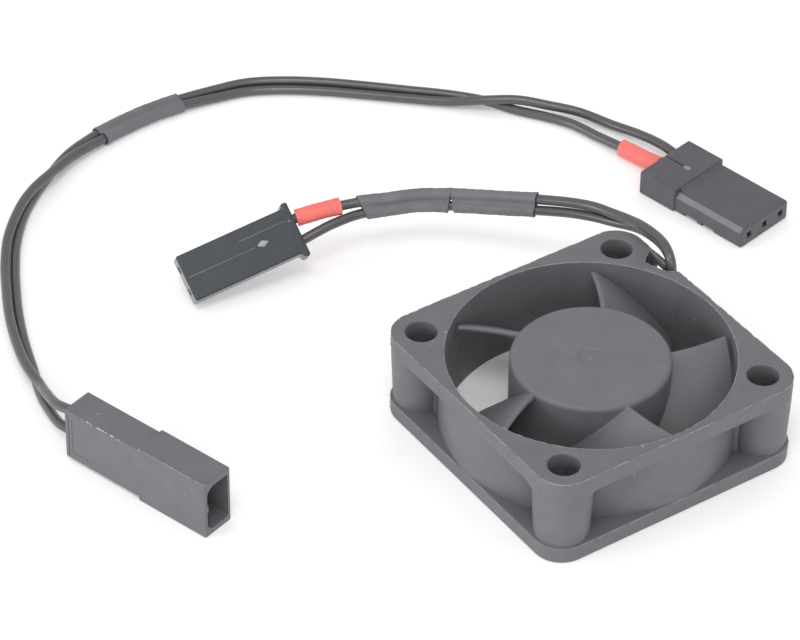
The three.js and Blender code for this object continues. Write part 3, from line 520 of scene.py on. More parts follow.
def clean(mesh, merge_distance, sliver_length=None):
    """Merges doubled points, drops slivers if asked, and turns the faces outwards."""
    work = bmesh.new()
    work.from_mesh(mesh)
    bmesh.ops.remove_doubles(work, verts=work.verts, dist=merge_distance)
    if sliver_length:
        bmesh.ops.dissolve_degenerate(work, edges=work.edges, dist=sliver_length)
    bmesh.ops.recalc_face_normals(work, faces=work.faces)
    work.to_mesh(mesh)
    work.free()


def mesh_object(name, vertices, faces):
    mesh = bpy.data.meshes.new(name)
    mesh.from_pydata([tuple(v) for v in vertices], [], faces)
    clean(mesh, MERGE_DISTANCE, SLIVER_LENGTH)
    return new_object(name, mesh)


def moved(obj, matrix):
    obj.data.transform(matrix)
    return obj


def evaluated_mesh(obj):
    """The mesh that an object's curve or modifiers come to."""
    graph = bpy.context.evaluated_depsgraph_get()
    return bpy.data.meshes.new_from_object(obj.evaluated_get(graph))


def curve_mesh(name, curve):
    source = new_object(name + "_path", curve)
    mesh = evaluated_mesh(source)
    bpy.data.objects.remove(source)
    mesh.name = name
    return mesh


def combine(obj, others, operation):
    """Joins, cuts or intersects the object with each of the others, which are used up."""
    for other in others:
        step = obj.modifiers.new("step", "BOOLEAN")
        step.operation = operation
        step.solver = "EXACT"
        step.object = other
    mesh = evaluated_mesh(obj)
    obj.modifiers.clear()
    obj.data = mesh
    for other in others:
        bpy.data.objects.remove(other)
    return obj


def filleted(points, radii, steps=5):
    """A closed outline with each corner rounded by its own radius."""
    outline = []
    count = len(points)
    for i, radius in enumerate(radii):
        corner = Vector(points[i])
        towards = (corner - Vector(points[i - 1])).normalized()
        away = (Vector(points[(i + 1) % count]) - corner).normalized()
        cross = towards.x * away.y - towards.y * away.x
        angle = math.atan2(cross, towards.dot(away))
        if radius <= 0 or abs(angle) < 0.01:
            outline.append(tuple(corner))
            continue
        reach = radius * math.tan(abs(angle) / 2)
        start = corner - towards * reach
        side = math.copysign(1, angle)
        centre = start + Vector((-towards.y, towards.x)) * radius * side
        arm = start - centre
        for j in range(steps + 1):
            turn = angle * j / steps
            x = arm.x * math.cos(turn) - arm.y * math.sin(turn)
            y = arm.x * math.sin(turn) + arm.y * math.cos(turn)
            outline.append((centre.x + x, centre.y + y))
    return outline


def gathered(obj, others):
    """Puts the faces of the others into the object's mesh as they are."""
    work = bmesh.new()
    work.from_mesh(obj.data)
    for other in others:
        work.from_mesh(other.data)
        bpy.data.objects.remove(other)
    work.to_mesh(obj.data)
    work.free()
    return obj


def rectangle(x0, y0, x1, y1, radius, steps=5):
    corners = [(x0, y0), (x1, y0), (x1, y1), (x0, y1)]
    return filleted(corners, [radius] * 4, steps)


def centred(width, height, radius, steps=5):
    return rectangle(-width / 2, -height / 2, width / 2, height / 2, radius, steps)


def circle(x, y, radius, count):
    turn = TAU / count
    return [(x + radius * math.cos(turn * i), y + radius * math.sin(turn * i)) for i in range(count)]


def add_run(curve, points, closed=True):
    spline = curve.splines.new("POLY")
    spline.points.add(len(points) - 1)
    for target, place in zip(spline.points, points):
        target.co = (*place, 1)
    spline.use_cyclic_u = closed
    return spline


def slab(name, outlines, bottom, top, edge, resolution=2):
    """A flat shape, with any holes, given thickness along Z and rounded edges."""
    curve = bpy.data.curves.new(name, "CURVE")
    curve.dimensions = "2D"
    curve.fill_mode = "BOTH"
    curve.extrude = (top - bottom) / 2 - edge
    curve.bevel_depth = edge
    curve.offset = -edge
    curve.bevel_resolution = resolution
    for outline in outlines:
        add_run(curve, [(x, y, 0) for x, y in outline])
    mesh = curve_mesh(name, curve)
    clean(mesh, SLAB_MERGE_DISTANCE)
    mesh.transform(Matrix.Translation((0, 0, (bottom + top) / 2)))
    return new_object(name, mesh)


def lathe(name, outline, count):
    """A solid of revolution about Z from a closed outline of (radius, height) points."""
    vertices = []
    for i in range(count):
        angle = TAU * i / count
        vertices += [(r * math.cos(angle), r * math.sin(angle), z) for r, z in outline]
    size = len(outline)
    faces = []
    for i in range(count):
        here, there = i * size, (i + 1) % count * size
        for j in range(size):
            k = (j + 1) % size
            if outline[j][0] < 1e-6 and outline[k][0] < 1e-6:
                continue
            faces.append((here + j, there + j, there + k, here + k))
    return mesh_object(name, vertices, faces)


def block(name, low, high):
    (x0, y0, z0), (x1, y1, z1) = low, high
    vertices = [(x, y, z) for x in (x0, x1) for y in (y0, y1) for z in (z0, z1)]
    faces = [(0, 1, 3, 2), (4, 6, 7, 5), (0, 4, 5, 1), (2, 3, 7, 6), (0, 2, 6, 4), (1, 5, 7, 3)]
    return mesh_object(name, vertices, faces)


def spun(degrees):
    return Matrix.Rotation(math.radians(degrees), 4, "Z")


def smoothed(obj, degrees=SHARP_SMALL, weighted=True):
    mesh = obj.data
    mesh.shade_smooth()
    mesh.set_sharp_from_angle(angle=math.radians(degrees))
    if weighted:
        step = obj.modifiers.new("even_shading", "WEIGHTED_NORMAL")
        step.keep_sharp = True
        step.weight = 60
    return obj


def placed(obj, body, material, replaces=()):
    """Scales a finished shape to metres and hands it to its body."""
    obj.data.transform(Matrix.Scale(MM, 4))
    obj.data.materials.clear()
    obj.data.materials.append(MATERIALS[material])
    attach(obj, body)
    if replaces:
        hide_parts(*replaces)
    return obj


# ---- wires and sleeves


def wire_points(route, side):
    """The control points of one wire of a pair: side is 1 for negative, -1 for positive."""
    centres = [Vector(row[:3]) for row in route]
    points = []
    for i, (centre, row) in enumerate(zip(centres, route)):
        before = centres[max(i - 1, 0)]
        after = centres[min(i + 1, len(centres) - 1)]
        along = (after - before).normalized()
        across = direction(row[4], row[5])
        across = (across - along * across.dot(along)).normalized()
        points.append(centre + across * (side * row[3] / 2))
    return points


def on_curve(points, share):
    """A point and its tangent on the smooth curve through the points, share from 0 to 1."""
    spans = len(points) - 1
    i = min(int(share * spans), spans - 1)
    t = share * spans - i
    p0 = points[i - 1] if i > 0 else points[0] * 2 - points[1]
    p1, p2 = points[i], points[i + 1]
    p3 = points[i + 2] if i + 2 <= spans else points[-1] * 2 - points[-2]
    v0, v1 = (p2 - p0) / 2, (p3 - p1) / 2
    a = (p1 - p2) * 2 + v0 + v1
    b = (p2 - p1) * 3 - v0 * 2 - v1
    point = p1 + v0 * t + b * t * t + a * t * t * t
    tangent = v0 + b * (2 * t) + a * (3 * t * t)
    return point, tangent.normalized()


def wire(name, route, side, body):
    """One insulated wire of a pair, and its length in metres."""
    controls = wire_points(route, side)
    count = (len(controls) - 1) * SAMPLES_PER_SPAN
    points = [on_curve(controls, i / count)[0] for i in range(count + 1)]
    curve = bpy.data.curves.new(name, "CURVE")
    curve.dimensions = "3D"
    curve.bevel_depth = WIRE_RADIUS * MM
    curve.bevel_resolution = 5
    curve.use_fill_caps = True
    add_run(curve, [point * MM for point in points], False).use_smooth = True
    obj = new_object(name, curve)
    curve.materials.append(MATERIALS["wire_jacket"])
    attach(obj, body)
    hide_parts(name.replace("_jacket", ""))
    return obj, sum((b - a).length for a, b in zip(points, points[1:])) * MM


def sleeve(name, ring, steps, inner, outer, body, finish):
    """A tube with a wall, from a function that gives its ring of points at a step and radius."""
    rings = [ring(i, outer) for i in range(steps + 1)]
    rings += [ring(i, inner) for i in range(steps, -1, -1)]
    count = len(rings[0])
    vertices = [point for points in rings for point in points]
    faces = []
    total = len(rings)
    for i in range(total):
        here, there = i * count, (i + 1) % total * count
        for j in range(count):
            k = (j + 1) % count
            faces.append((here + j, here + k, there + k, there + j))
    obj = smoothed(mesh_object(name, vertices, faces), SHARP_TUBE, False)
    return placed(obj, body, finish, [name.replace("_skin", "")])


def sleeve_section(half, radius):
    """The closed outline of a flattened sleeve: (across, up) points round a pair of wires."""
    points = []
    round_steps, flat_steps = 12, 8
    for end in (1, -1):
        for i in range(round_steps + 1):
            angle = -math.pi / 2 + math.pi * i / round_steps
            points.append((end * (half + radius * math.cos(angle)), end * radius * math.sin(angle)))
        for i in range(1, flat_steps):
            x = half * (1 - 2 * i / flat_steps)
            dip = SLEEVE_SADDLE * math.cos(math.pi * x / (2 * half)) ** 2
            points.append((end * x, end * (radius - dip)))
    return points


def pair_frame(route, share):
    """The middle of a pair of wires, its three axes, and half the distance between the two."""
    negative, along = on_curve(wire_points(route, 1), share)
    positive = on_curve(wire_points(route, -1), share)[0]
    across = negative - positive
    half = across.length / 2
    across = (across - along * across.dot(along)).normalized()
    return (negative + positive) / 2, along, across, along.cross(across), half


def grey_sleeve(name, route, start, end, body, slant_start=0.0, slant_end=0.0):
    """A sleeve shrunk round both wires, with open, flared ends that may be cut askew."""
    steps = 36

    def ring(i, radius):
        middle, along, across, up, half = pair_frame(route, start + (end - start) * i / steps)
        from_end = min(i, steps - i)
        flare = GREY_SLEEVE_FLARE * math.exp(-from_end / 1.6)
        ripple = 0.012 * math.sin(i * 1.7) + 0.01 * math.sin(i * 0.63 + 1)
        near_start = math.exp(-i / 3.0) * slant_start
        near_end = math.exp(-(steps - i) / 3.0) * slant_end
        points = []
        for x, y in sleeve_section(half, radius + flare + ripple):
            lean = (near_start + near_end) * x / (half + radius)
            points.append(middle + across * x + up * y + along * lean)
        return points

    inner = WIRE_RADIUS + SLEEVE_GAP * 0.5
    outer = WIRE_RADIUS + SLEEVE_GAP + GREY_SLEEVE_WALL
    return sleeve(name, ring, steps, inner, outer, body, "grey_tubing")


def share_at(points, from_end):
    """The share of the curve at a distance, in mm, back from its last point."""
    samples = 600
    last = points[-1]
    gone = 0.0
    for i in range(samples - 1, -1, -1):
        here = on_curve(points, i / samples)[0]
        gone += (here - last).length
        last = here
        if gone >= from_end:
            return i / samples
    return 0.0


def red_sleeve(name, route, near_end, far_end, body):
    """A short round sleeve on the positive wire, between two distances from its end."""
    points = wire_points(route, -1)
    start, end = share_at(points, far_end), share_at(points, near_end)
    steps, around = 28, 36

    def ring(i, radius):
        centre, along = on_curve(points, start + (end - start) * i / steps)
        side = along.cross(Vector((0, 0, 1))).normalized()
        up = side.cross(along)
        from_end = min(i, steps - i)
        flare = RED_SLEEVE_FLARE * math.exp(-from_end / 1.5)
        ring_points = []
        for j in range(around):
            angle = TAU * j / around
            wobble = 0.012 * math.sin(2 * angle + i * 0.35) + 0.008 * math.sin(i * 1.3)
            reach = radius + flare + wobble
            lean = 0.08 * math.cos(angle + 0.6) * (math.exp(-i / 2) - math.exp((i - steps) / 2))
            out = side * math.cos(angle) + up * math.sin(angle)
            ring_points.append(centre + out * reach + along * lean)
        return ring_points

    inner = WIRE_RADIUS + 0.04
    return sleeve(name, ring, steps, inner, RED_SLEEVE_RADIUS, body, "red_tubing")


# ---- fan frame


def evenly(outline, spacing):
    """Points at about the same distance from each other all round a closed outline."""
    points = []
    for i, end in enumerate(outline):
        start, end = Vector(outline[i - 1]), Vector(end)
        count = max(1, round((end - start).length / spacing))
        points += [tuple(start.lerp(end, j / count)) for j in range(count)]
    return points


def flash_line(name, runs, radius, closed=True):
    """Thin broken ridges, swelling and fading along each run: moulding flash, and lighter ridges that are
    painted edge highlights.
    """
    curve = bpy.data.curves.new(name, "CURVE")
    curve.dimensions = "3D"
    curve.bevel_depth = radius
    curve.bevel_resolution = 1
    for k, run in enumerate(runs):
        for i, point in enumerate(add_run(curve, run, closed).points):
            wave = noise.noise((i * 0.37, k * 7.3, 0.2)) + 0.6 * noise.noise((i * 1.1, k * 3.1, 4.0))
            point.radius = min(1.4, max(0.15, 0.75 + 1.1 * wave))
    return smoothed(new_object(name, curve_mesh(name, curve)), SHARP_TUBE, False)


def duct_bore():
    """A plug as wide as the middle of the duct wall, to keep other shapes out of the air way."""
    reach = DUCT_RADIUS + 0.25
    return lathe("bore", [(0, -1), (reach, -1), (reach, 9.6), (0, 9.6)], ROUND_STEPS)


def top_flange_outline():
    """The square of the top flange, with its wire notch and the hook beside it."""
    half = FRAME_SIDE / 2
    notch = [
        (half, 5.505), (13.95, 6.35), (13.72, 6.75), (12.97, 8.71), (14.6, 9.99), (14.5, 7.25), (half, 7.25),
    ]
    notch_radii = [0.25, 0.35, 0.3, 0.1, 0.1, 0.22, 0.22]
    points = [(-half, -half), (half, -half), *notch, (half, half), (-half, half)]
    corner_radii = [CORNER_RADIUS] * 2
    return filleted(points, corner_radii + notch_radii + corner_radii, CORNER_STEPS)


def corner_posts():
    """The four hollow posts with their webs, and the flares under the top flange."""
    reach = HOLE_OFFSET * math.sqrt(2)
    bore = HOLE_RADIUS + 0.02
    post_outline = [
        (bore, POST_BOTTOM), (POST_BASE_RADIUS, POST_BOTTOM), (POST_BASE_RADIUS + 0.02, 2.2),
        (POST_TOP_RADIUS - 0.03, 6.6), (POST_TOP_RADIUS, POST_TOP), (bore, POST_TOP),
    ]
    flare_outline = [
        (2, 6.9), (2.9, 6.9), (2.99, 7.2), (3.1, 7.6), (3.32, 7.95), (3.6, 8.12), (3.6, 8.6), (2, 8.6),
    ]
    parts, flares = [], []
    for azimuth in (45, 135, 225, 315):
        spot = spun(azimuth) @ Matrix.Translation((reach, 0, 0))
        post = moved(lathe("post", post_outline, 72), spot)
        parts.append(combine(post, [duct_bore()], "DIFFERENCE"))
        web = block("web", (14.62, -WEB_HALF_WIDTH, 0.9), (reach - 1.75, WEB_HALF_WIDTH, 9.1))
        parts.append(moved(web, spun(azimuth)))
        flares.append(moved(lathe("flare", flare_outline, 72), spot))
    for flare in flares[1:]:
        combine(flares[0], [flare], "UNION")
    inset = 0.02
    side = FRAME_SIDE - 2 * inset
    prism_outline = centred(side, side, CORNER_RADIUS - inset, CORNER_STEPS)
    combine(flares[0], [slab("prism", [prism_outline], 5, 9.5, 0.01, 0)], "INTERSECT")
    return parts + [combine(flares[0], [duct_bore()], "DIFFERENCE")]


def motor_mount():
    """The motor base with its bearing tube, and the three struts that carry it."""
    outline = filleted(
        [(1.4, 0.25), (7.4, 0.25), (7.4, 0), (BASE_RADIUS, 0), (BASE_RADIUS, BASE_TOP),
         (3, BASE_TOP), (3, 1.65), (1.9, 1.65), (1.9, 7), (1.4, 7)],
        [0, 0.05, 0.1, 0.2, 0.2, 0, 0.08, 0, 0.08, 0.08],
    )
    parts = [lathe("motor_base", outline, 120)]
    # The first strut is the wide one that carries the wires.
    for i, (half_width, top) in enumerate([(1.8, WIRE_STRUT_TOP), (0.75, 1.2), (0.75, 1.2)]):
        outline = rectangle(7.65, -half_width, 14.7, half_width, 0)
        strut = slab("strut", [outline], 0.02, top, STRUT_EDGE)
        parts.append(moved(strut, spun(WIRE_STRUT_AZIMUTH + 120 * i)))
    return parts


def frame_flash_and_edge_highlights(outlines):
    """Light-grey ridges on the rims of the duct and the two flanges, partly flash and partly a painted edge
    highlight, and teeth of flash on two corners.
    """
    runs = [[(x, y, FRAME_HEIGHT - 0.045) for x, y in circle(0, 0, DUCT_RADIUS + 0.04, 400)]]
    for outline, spacing, height in outlines:
        runs.append([(x, y, height) for x, y in evenly(outline, spacing)])
    # These rim ridges are painted lighter than the frame, as the highlight along its edges.
    edges = flash_line("frame_edge_flash_and_highlight", runs, 0.046)
    placed(edges, "fan", "flash_and_edge_highlight_grey")
    corner_runs = [
        [(side * 14.44, -side * 13.68, low + 0.1 * i) for i in range(count)]
        for side in (-1, 1)
        for low, count in ((0.15, 15), (FRAME_HEIGHT - 1.8, 17))
    ]
    teeth = flash_line("frame_corner_flash", corner_runs, 0.1, closed=False)
    placed(teeth, "fan", "flash_and_edge_highlight_grey")


def fan_frame():
    top_outline = top_flange_outline()
    base_outline = centred(FRAME_SIDE, FRAME_SIDE, CORNER_RADIUS, CORNER_STEPS)
    openings = [circle(0, 0, DUCT_RADIUS, ROUND_STEPS)]
    for x in (-HOLE_OFFSET, HOLE_OFFSET):
        openings += [circle(x, y, HOLE_RADIUS, 64) for y in (-HOLE_OFFSET, HOLE_OFFSET)]
    edge = 0.16
    under_top = FRAME_HEIGHT - TOP_FLANGE
    body = slab("fan_frame_shell", [top_outline, *openings], under_top, FRAME_HEIGHT, edge, 3)
    base = slab("base", [base_outline, *openings], 0, BASE_FLANGE, edge, 3)
    wall_outline = rectangle(DUCT_RADIUS + 0.012, 0.4, DUCT_RADIUS + DUCT_WALL, 9.2, 0)
    wall = lathe("wall", wall_outline, ROUND_STEPS)
    combine(body, [base, wall, *corner_posts()], "UNION")
    combine(body, [block("under_hook", (14.3, 7.2, 7.5), (16, 9, 9.1))], "DIFFERENCE")
    combine(body, motor_mount(), "UNION")
    trench = block("trench", (4.2, -1.3, CHANNEL_FLOOR), (16, 1.3, WIRE_STRUT_TOP + 0.06))
    slot = block("slot", (14, -1.6, CHANNEL_FLOOR), (16, 1.6, 3))
    channel = [moved(part, spun(WIRE_STRUT_AZIMUTH)) for part in (trench, slot)]
    combine(body, channel, "DIFFERENCE")
    smoothed(body, SHARP_MOULDING)
    placed(body, "fan", "frame_plastic", ["fan_frame"])
    upper, lower = FRAME_HEIGHT - 0.05, BASE_FLANGE - 0.06
    frame_flash_and_edge_highlights([(top_outline, 0.22, upper), (base_outline, 0.3, lower)])


def base_label():
    corners = [(0, 0.05), (LABEL_RADIUS, 0.05), (LABEL_RADIUS, 0.18), (0, 0.18)]
    outline = filleted(corners, [0, 0.04, 0.04, 0])
    label = smoothed(lathe("base_label_film", outline, 120))
    placed(label, "fan", "label_film", ["base_label"])


# ---- impeller


def blade_point(span, sweep):
    """A point of the blade's middle surface: span from root to tip, sweep from top to bottom."""
    radius = BLADE_ROOT_RADIUS + span * (BLADE_TIP_RADIUS - BLADE_ROOT_RADIUS)
    turn = BLADE_SWEEP_ROOT + span * (BLADE_SWEEP_TIP - BLADE_SWEEP_ROOT)
    azimuth = math.radians(BLADE_TIP_AZIMUTH - BLADE_LEAD * (1 - span) - turn * sweep)
    height = BLADE_TOP - (BLADE_TOP - BLADE_BOTTOM) * sweep ** 1.1
    return Vector((radius * math.cos(azimuth), radius * math.sin(azimuth), height))


def blade(index):
    """A lofted blade: rounded at both edges, thicker where it meets the hub."""
    spans, sweeps = 16, 26
    rings = []
    for i in range(spans + 1):
        span = i / spans
        thick = BLADE_THICKNESS * (1 + 0.55 * math.exp(-span * 14) - 0.12 * span)
        upper, lower = [], []
        for j in range(sweeps + 1):
            sweep = (1 - math.cos(math.pi * j / sweeps)) / 2
            point = blade_point(span, sweep)
            step = 0.01
            base = min(sweep, 1 - step)
            here = blade_point(span, base)
            along_span = blade_point(span + step, base) - here
            along_sweep = blade_point(span, base + step) - here
            normal = along_sweep.cross(along_span).normalized()
            from_edge = min(sweep, 1 - sweep)
            share = math.sqrt(1 - (1 - min(from_edge / BLADE_EDGE, 1)) ** 2)
            offset = normal * (thick / 2 * max(share, 0.08))
            upper.append(point + offset)
            lower.append(point - offset)
        rings.append(upper + lower[::-1])
    count = len(rings[0])
    vertices = [point for ring in rings for point in ring]
    faces = []
    for i in range(spans):
        here, there = i * count, (i + 1) * count
        for j in range(count):
            k = (j + 1) % count
            faces.append((here + j, here + k, there + k, there + j))
    for here in (0, spans * count):
        for j in range(sweeps):
            back = here + count - 1 - j
            faces.append((here + j, here + j + 1, back - 1, back))
    obj = mesh_object("blade", vertices, faces)
    return moved(obj, spun(360 / BLADE_COUNT * index))


def impeller():
    outline = filleted(
        [(0, HUB_TOP - 0.05), (0.3, HUB_TOP - 0.06), (0.42, HUB_TOP - MARK_DEPTH),
         (1.2, HUB_TOP - MARK_DEPTH), (1.42, HUB_TOP), (HUB_RADIUS, HUB_TOP),
         (HUB_RADIUS, HUB_SKIRT), (HUB_INNER, HUB_SKIRT), (HUB_INNER, HUB_CEILING),
         (1.6, HUB_CEILING), (1.6, 7.8), (0.8, 7.8), (0.8, 9.16), (0, 9.16)],
        [0, 0.1, 0.08, 0.1, 0.1, 0.55, 0.1, 0.1, 0.15, 0.1, 0.1, 0.05, 0, 0],
        6,
    )
    hub = lathe("impeller_moulding", outline, 144)
    gathered(hub, [blade(i) for i in range(BLADE_COUNT)])
    smoothed(hub, SHARP_MOULDING)
    placed(hub, "rotor", "rotor_plastic", ["impeller"])
    ring_outline = [
        (0.95, HUB_TOP - 0.01), (1.09, HUB_TOP - 0.01), (1.05, HUB_TOP + 0.015), (0.99, HUB_TOP + 0.015),
    ]
    ring = smoothed(lathe("ejector_ring", ring_outline, 64))
    placed(moved(ring, Matrix.Translation(EJECTOR_MARK)), "rotor", "rotor_plastic")


# ---- connectors

# Turns a flat shape drawn in X and Y so that it faces +X: X goes to Y and Y to Z.
ALONG_X = Matrix(((0, 0, 1, 0), (1, 0, 0, 0), (0, 1, 0, 0), (0, 0, 0, 1)))


def bar(name, section, start, end, edge, resolution=2):
    """A bar along X from its cross-section, with its ends rounded."""
    return moved(slab(name, [section], start, end, edge, resolution), ALONG_X)


def plug_piece(obj, body, material, matrix, replaces=()):
    placed(moved(obj, matrix), body, material, replaces)


def cavity(rear, shoulder, front, y, z, lean=0):
    """What a contact leaves free: a wide chamber from behind, then a small hole to the front."""
    (a, b), (c, d) = CHAMBER_HALF, PIN_HOLE_HALF
    wide = block("cavity", (rear, y - a, z - b), (shoulder, y + a, z + b))
    hole = block("pin_hole", (shoulder - 0.5, -c, -d), (front, c, d))
    tilt = Matrix.Rotation(math.radians(lean), 4, "X")
    return [wide, moved(hole, Matrix.Translation((0, y, z)) @ tilt)]


def fan_plug():
    rear, front = -FAN_PLUG_LENGTH / 2, FAN_PLUG_LENGTH / 2
    side, ear = FAN_PLUG_WIDTH / 2, FAN_PLUG_WIDTH / 2 + 0.5
    half_depth = FAN_PLUG_THICKNESS / 2
    radii = [0.24, 0.22, 0.25, 0.26]

    def shape(name, spare, half, edge):
        """The housing grown sideways by the spare, with its ears at the rear."""
        a, b = ear + spare, side + spare
        lower = [(rear - spare, -a), (rear + 0.6, -a), (rear + 0.85, -b), (front + spare, -b)]
        upper = [(x, -y) for x, y in reversed(lower)]
        moulding = slab(name, [filleted(lower + upper, radii + radii[::-1])], -half, half, edge, 3)
        cuts = []
        for y in (-CONTACT_PITCH / 2, CONTACT_PITCH / 2):
            cuts += cavity(rear - 1, front - PLUG_FRONT_WALL, front + 1, y, 0)
        return smoothed(combine(moulding, cuts, "DIFFERENCE"), SHARP_MOULDING)

    rounding = 0.2
    body = shape("fan_plug_moulding", 0, half_depth, rounding)
    # A thin band round the sides, painted much lighter than the housing as the highlight on them.
    rim = shape("fan_plug_painted_side_highlight", 0.02, half_depth - rounding, 0.05)
    turn = Euler([math.radians(a) for a in FAN_PLUG_TURN], "XYZ").to_matrix().to_4x4()
    spot = Matrix.Translation(FAN_PLUG_CENTRE) @ turn
    plug_piece(body, "fan", "fan_plug", spot, ["fan_plug_housing"])
    plug_piece(rim, "fan", "plug_side_highlight", spot)
    lens = filleted([(-0.7, 0), (0, -0.38), (0.7, 0), (0, 0.38)], [0.08, 0.3, 0.08, 0.3])
    stud = smoothed(slab("fan_plug_gate_mark", [lens], half_depth - 0.05, half_depth + 0.06, 0.04))
    plug_piece(stud, "fan", "gate_mark", spot @ Matrix.Translation((rear + 4.1, -0.05, 0)))
    # The seam ridges are painted lighter than the housing, as the highlight that they catch.
    lines = []
    for start, finish, y in ((rear + 5, front - 0.35, 0), (rear + 0.9, rear + 6.3, -1.25)):
        line = rectangle(start, y - 0.05, finish, y + 0.05, 0.03)
        lines.append(slab("line", [line], half_depth - 0.03, half_depth + 0.014, 0.01, 1))
    seam = smoothed(combine(lines[0], lines[1:], "UNION"))
    seam.name = "fan_plug_seam"
    plug_piece(seam, "fan", "seam_highlight_paint", spot)
    return body, rim, stud, seam


def socket_nicks():
    """Light nicks along the upper edge of the socket's rear part."""
    y, z = 0.02 - SOCKET_REAR[1] / 2, SOCKET_REAR[2] / 2 - 0.03
    nicks = []
    for x, size in SOCKET_NICKS:
        outline = filleted([(0, -size), (size, 0), (0, size)], [0, size * 0.6, 0])
        nick = moved(lathe("nick", outline, 20), Matrix.Diagonal((1.6, 0.6, 0.5, 1)))
        nicks.append(moved(nick, Matrix.Translation((x, y, z))))
    burr = smoothed(combine(nicks[0], nicks[1:], "UNION"))
    burr.name = "socket_edge_nicks"
    return burr


def socket_flash(start, end):
    """Flash on one long upper edge of the socket's front part and round to its mouth."""
    y, z = 0.04 - SOCKET_FRONT[1] / 2, SOCKET_FRONT[2] / 2 - 0.04
    first, length, count = start + 0.1, SOCKET_FRONT[0] - 0.2, 60
    top_edge = [(first + length * i / count, y, z) for i in range(count + 1)]
    mouth_edge = [(end - 0.05, x, z) for x in (y, y + 0.1, y + 0.2, y + 0.35)]
    return flash_line("socket_edge_flash", [top_edge, mouth_edge], 0.045, closed=False)


def socket():
    rear_length, rear_width, rear_height = SOCKET_REAR
    front_length, front_width, front_height = SOCKET_FRONT
    end = rear_length + front_length
    body = bar("socket_moulding", centred(front_width, front_height, 0.15), rear_length, end, 0.1)
    tail = bar("tail", centred(rear_width, rear_height, 0.12), 0, rear_length + 0.6, 0.08)
    combine(body, [tail], "UNION")
    mouth_corners = [(-1.5, -2.65), (1.5, -2.65), (1.5, 2.65), (-1.5, 2.65)]
    mouth_outline = filleted(mouth_corners, [0.9, 0.25, 0.25, 1.1], 8)
    mouth_floor = end - SOCKET_MOUTH_DEPTH
    cuts = [bar("mouth", mouth_outline, mouth_floor, end + 1, 0.02, 0)]
    for z in (-CONTACT_PITCH / 2, CONTACT_PITCH / 2):
        cuts += cavity(-1, rear_length - 1, mouth_floor + 0.5, 0, z)
    # A shallow groove behind the rear rim, and a plain sunk panel, on both broad sides.
    marks = [("rim_groove", 0.06, 0.42, 0.56, 2.55), ("panel", 0.04, 0.9, 3.1, 2.1)]
    for face in (-1, 1):
        for name, depth, start, finish, half in marks:
            low, high = sorted((face * (rear_width / 2 + 0.5), face * (rear_width / 2 - depth)))
            cuts.append(block(name, (start, low, -half), (finish, high, half)))
    combine(body, cuts, "DIFFERENCE")
    key_outline = rectangle(-1.8, -0.6, -1.13, 0.35, 0.06)
    combine(body, [bar("key", key_outline, end - 6, end - 0.15, 0.06)], "UNION")
    smoothed(body, SHARP_MOULDING)
    spot = Matrix.Translation(SOCKET_ORIGIN) @ spun(SOCKET_YAW)
    plug_piece(body, "extension_lead", "socket", spot, ["lead_socket_housing"])
    burr = socket_nicks()
    plug_piece(burr, "extension_lead", "nick_marks", spot)
    edges = socket_flash(rear_length, end)
    plug_piece(edges, "extension_lead", "flash_and_edge_highlight_grey", spot)
    return body, burr, edges


def servo_slope(side):
    """The ramp from the tall rear of the servo plug down to its front."""
    start, end = SERVO_REAR[0] - 0.25, SERVO_REAR[0] + 0.5
    rear_height, front_height = SERVO_REAR[2], SERVO_FRONT[2]
    profile = [(start, front_height - 0.3), (start, rear_height - 0.04), (end, front_height - 0.02)]
    points = [(x, y, z) for y in (0.8 - side, side - 0.35) for x, z in profile]
    faces = [(0, 1, 2), (3, 5, 4), (0, 3, 4, 1), (1, 4, 5, 2), (2, 5, 3, 0)]
    return mesh_object("slope", points, faces)


def servo_chamfer_highlight_strip(start, end, side):
    """A strip on the servo plug's chamfer, painted lighter as the highlight that falls on it."""
    height, inset, sunk, proud = SERVO_FRONT[2], 0.06, -0.01, 0.014
    inner, outer = -side + SERVO_CHAMFER - inset, -side + inset
    low, high = height - SERVO_CHAMFER + inset, height - inset
    profile = [(outer, low, sunk), (inner, high, sunk), (inner, high, proud), (outer, low, proud)]
    points = [(x, y - lift, z + lift) for x in (start, end) for y, z, lift in profile]
    faces = [(0, 1, 2, 3), (7, 6, 5, 4), (0, 4, 5, 1), (1, 5, 6, 2), (2, 6, 7, 3), (3, 7, 4, 0)]
    return mesh_object("servo_plug_chamfer_highlight", points, faces)


